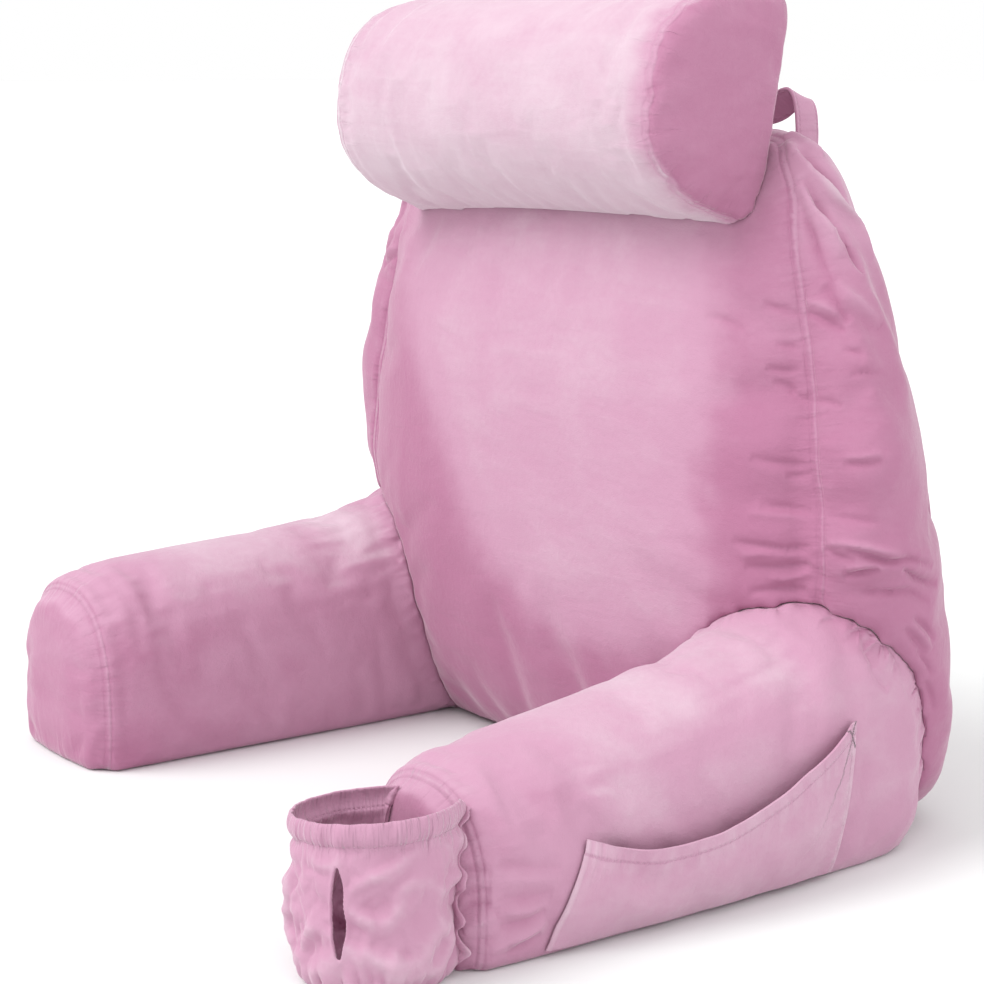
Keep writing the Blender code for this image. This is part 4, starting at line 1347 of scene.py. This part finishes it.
class PILLOW_OT_pouch(bpy.types.Operator):
    """Gather the round pouch on its elastic rim, crumple its wall and open its upright slit"""

    bl_idname = "pillow.pouch"
    bl_label = "Round Pouch"

    def execute(self, context):
        settings = context.scene.reading_pillow
        sewing = settings.sewing
        surface = skin_of(bpy.data.objects["arm_right_cover"].data)
        noise.seed_set(CRUMPLE_SEED)
        heights, reaches = pouch_profile(POUCH_DOWN)
        outer, inner = pouch_edges(surface, heights, reaches)
        slit = pi / 2 + SLIT_TURN

        wall = POUCH_ACROSS - 2 * FLANGE_COLUMNS
        parted = round(wall * SLIT_SHARE)

        def where(u, v):
            """The row, the turn, and how far out on the flange beyond the sewn edge.

            The slit always lies between the same two columns."""
            k = round((1 - v) * POUCH_DOWN)
            column = round(u * POUCH_ACROSS) - FLANGE_COLUMNS
            flange = max(-column, column - wall, 0) / FLANGE_COLUMNS
            column = min(max(column, 0), wall)
            if column <= parted:
                turn = outer[k] + (slit - outer[k]) * column / parted
            else:
                turn = slit + (inner[k] - slit) * (column - parted - 1) / (wall - parted - 1)
            tall = min(max((heights[k] - SLIT_LOW) / (SLIT_HIGH - SLIT_LOW), 0.0), 1.0)
            spread = SLIT_SEAM + SLIT_HALF * sin(pi * tall) ** 0.6
            apart = abs(turn - slit) * POUCH_R
            turn += (1 if column <= parted else -1) * spread * exp(-apart / 0.014) / POUCH_R
            return k, turn, flange

        def torn(u, v):
            k = (1 - v) * POUCH_DOWN
            z = float(np.interp(k, range(POUCH_DOWN + 1), heights))
            return int(u * POUCH_ACROSS) == FLANGE_COLUMNS + parted and SLIT_LOW < z < SLIT_HIGH

        def find(u, v):
            k, turn, flange = where(u, v)
            z, reach = heights[k], reaches[k]
            drift = 1.1 * noise.noise((turn * 2.6, z * 16, 1.0)) + 0.5 * noise.noise((turn * 9, z * 10, 8.0))
            casing = 1.0 if z > CASING_FOOT else exp((z - CASING_FOOT) / WALL_FADE)
            push = 0.0008 * sin(GATHERS * 2 * turn + 7 * drift) * casing
            hemmed = hump((turn - slit) * POUCH_R, SLIT_HEM)
            push += crumple(turn, z) * (1 - casing) * min(z / WALL_FADE, 1.0) * (1 - 0.8 * hemmed)
            ripple = 0.0024 * sin(2 * pi * (3.4 * turn + drift))
            push += ripple * hump(z - 0.006, WALL_FADE) * min(reach, 1.0)
            spot = pouch_spot(turn, z, reach, push)
            if flange > 0:
                side = 1 if turn > 0 else -1
                wave = sin(2 * pi * z / 0.030 + 2.5 * noise.noise((z * 22, side * 4.0, 1.0)))
                wave = (0.5 + 0.5 * wave) ** 0.7 * ease(z, 0.000, 0.016) * (1 - 0.8 * ease(z, 0.078, 0.100))
                lifted = spot + Vector((side * FLANGE * (0.30 + 0.70 * wave) * flange, 0.0, 0.0))
                near, normal, _, _ = surface.find_nearest(lifted)
                ruffle = FLANGE_RUFFLE * wave * sin(pi / 2 * flange)
                spot = near + normal * (EDGE_CLEAR + 0.0002 + ruffle)
            return spot

        def lay(u, v):
            k, turn, flange = where(u, v)
            z = heights[k]
            column = round(u * POUCH_ACROSS) - FLANGE_COLUMNS - parted
            near_slit = SLIT_LOW - 0.004 < z < SLIT_HIGH + 0.004
            hem = 0.0013 * hump(abs(column - 0.5) - 0.5, 1.4) if near_slit else 0.0
            lift = Vector((sin(turn), -cos(turn), 0.0)) * (hem + (0.0010 if z > CASING_FOOT else 0.0))
            below = 1 - ease(z, CASING_FOOT - WALL_FADE, CASING_FOOT)
            # Painted light and shade on the crumples, painted light on the ruffled flange and painted shade
            # in the hollow along its sewn line.
            nap = min(CRUMPLE_PAINTED_LIGHT * crumple(turn, z), 0.16) * below
            sewn = (outer if turn > 0 else inner)[k]
            nap += 0.14 * flange - 0.10 * exp(-abs(turn - sewn) * POUCH_R / 0.006)
            return Lay(tuple(lift), z - CASING_FOOT, turn * POUCH_R, nap)

        piece = laid_sheet("pouch_cloth", POUCH_ACROSS, POUCH_DOWN, find, lay, 0, torn)
        thicken(piece, sewing.cloth, -1.0)
        subdivide(piece)
        hand_over(piece, "round_pouch", plush("pouch plush", "gathered"))
        return {"FINISHED"}


# ---------------------------------------------------------------- stage
FLOOR_RADIUS = 30.0
FILL_SPREAD, FILL_AZIMUTH, FILL_ELEVATION = radians(120), radians(98), radians(24)


def aim(thing, target):
    thing.rotation_euler = (target - thing.location).to_track_quat("-Z", "Y").to_euler()


def shine(context, name, strength, spread, azimuth, elevation):
    """Add a soft far light."""
    light = bpy.data.objects.new(name, bpy.data.lights.new(name, "SUN"))
    light.data.energy = strength
    light.data.angle = spread
    light.location = CAMERA_TARGET + direction(azimuth, elevation) * 3.0
    aim(light, CAMERA_TARGET)
    context.collection.objects.link(light)


class PILLOW_OT_stage(bpy.types.Operator):
    """Set out the pale floor, the soft studio light and the camera"""

    bl_idname = "pillow.stage"
    bl_label = "Stage"

    def execute(self, context):
        stage = context.scene.reading_pillow.stage
        bm = bmesh.new()
        bmesh.ops.create_circle(bm, cap_ends=True, segments=96, radius=FLOOR_RADIUS)
        floor = piece_from(bm, "floor")
        paper = Finish("pale paper")
        grain = paper.cloud(paper.place(), 30.0)
        paper.feed(paper.shader.inputs["Base Color"],
                   paper.mix(grain, (0.77, 0.79, 0.78, 1.0), (0.78, 0.80, 0.79, 1.0)))
        paper.shader.inputs["Roughness"].default_value = 0.9
        paper.shader.inputs["Specular IOR Level"].default_value = 0.1
        floor.data.materials.append(paper.material)

        world = bpy.data.worlds.new("studio")
        world.use_nodes = True
        nodes = world.node_tree.nodes
        seen = nodes.new("ShaderNodeLightPath")
        level = nodes.new("ShaderNodeMapRange")
        level.inputs["To Min"].default_value = stage.surround
        world.node_tree.links.new(seen.outputs["Is Camera Ray"], level.inputs["Value"])
        world.node_tree.links.new(level.outputs["Result"], nodes["Background"].inputs["Strength"])
        nodes["Background"].inputs["Color"].default_value = (1.0, 1.0, 1.0, 1.0)
        context.scene.world = world

        shine(context, "key light", stage.key, stage.key_spread, stage.key_azimuth, stage.key_elevation)
        shine(context, "fill light", stage.fill, FILL_SPREAD, FILL_AZIMUTH, FILL_ELEVATION)

        camera = bpy.data.objects.new("camera", bpy.data.cameras.new("camera"))
        camera.data.sensor_width = SENSOR
        camera.data.lens = stage.lens
        camera.data.shift_x, camera.data.shift_y = CAMERA_SHIFT
        camera.location = CAMERA_TARGET + direction(stage.azimuth, stage.elevation) * stage.distance
        aim(camera, CAMERA_TARGET)
        context.collection.objects.link(camera)
        context.scene.camera = camera
        context.scene.view_settings.view_transform = "Standard"
        return {"FINISHED"}


class PILLOW_PT_panel(bpy.types.Panel):
    bl_idname = "PILLOW_PT_panel"
    bl_label = "Reading Pillow"
    bl_space_type = "VIEW_3D"
    bl_region_type = "UI"
    bl_category = "Reading Pillow"

    def draw(self, context):
        settings = context.scene.reading_pillow
        for group in (settings.plush, settings.filling, settings.sewing, settings.stage):
            box = self.layout.box()
            for name in group.bl_rna.properties.keys():
                if name not in ("rna_type", "name"):
                    box.prop(group, name)
        for operator in OPERATORS:
            self.layout.operator(operator.bl_idname)


OPERATORS = (
    PILLOW_OT_stage,
    PILLOW_OT_back,
    PILLOW_OT_arms,
    PILLOW_OT_neck_roll,
    PILLOW_OT_side_pocket,
    PILLOW_OT_rear_pocket,
    PILLOW_OT_strap,
    PILLOW_OT_pouch,
)
GROUPS = (PlushSettings, FillingSettings, SewingSettings, StageSettings, PillowSettings)
CLASSES = GROUPS + OPERATORS + (PILLOW_PT_panel,)


def register():
    for cls in CLASSES:
        bpy.utils.register_class(cls)
    bpy.types.Scene.reading_pillow = PointerProperty(type=PillowSettings)


def unregister():
    del bpy.types.Scene.reading_pillow
    for cls in reversed(CLASSES):
        bpy.utils.unregister_class(cls)


def main():
    """Make every piece and the stage."""
    register()
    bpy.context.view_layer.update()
    bpy.ops.pillow.stage()
    bpy.ops.pillow.back()
    bpy.ops.pillow.arms()
    bpy.ops.pillow.neck_roll()
    bpy.ops.pillow.side_pocket()
    bpy.ops.pillow.rear_pocket()
    bpy.ops.pillow.strap()
    bpy.ops.pillow.pouch()


if __name__ == "__main__":
    main()
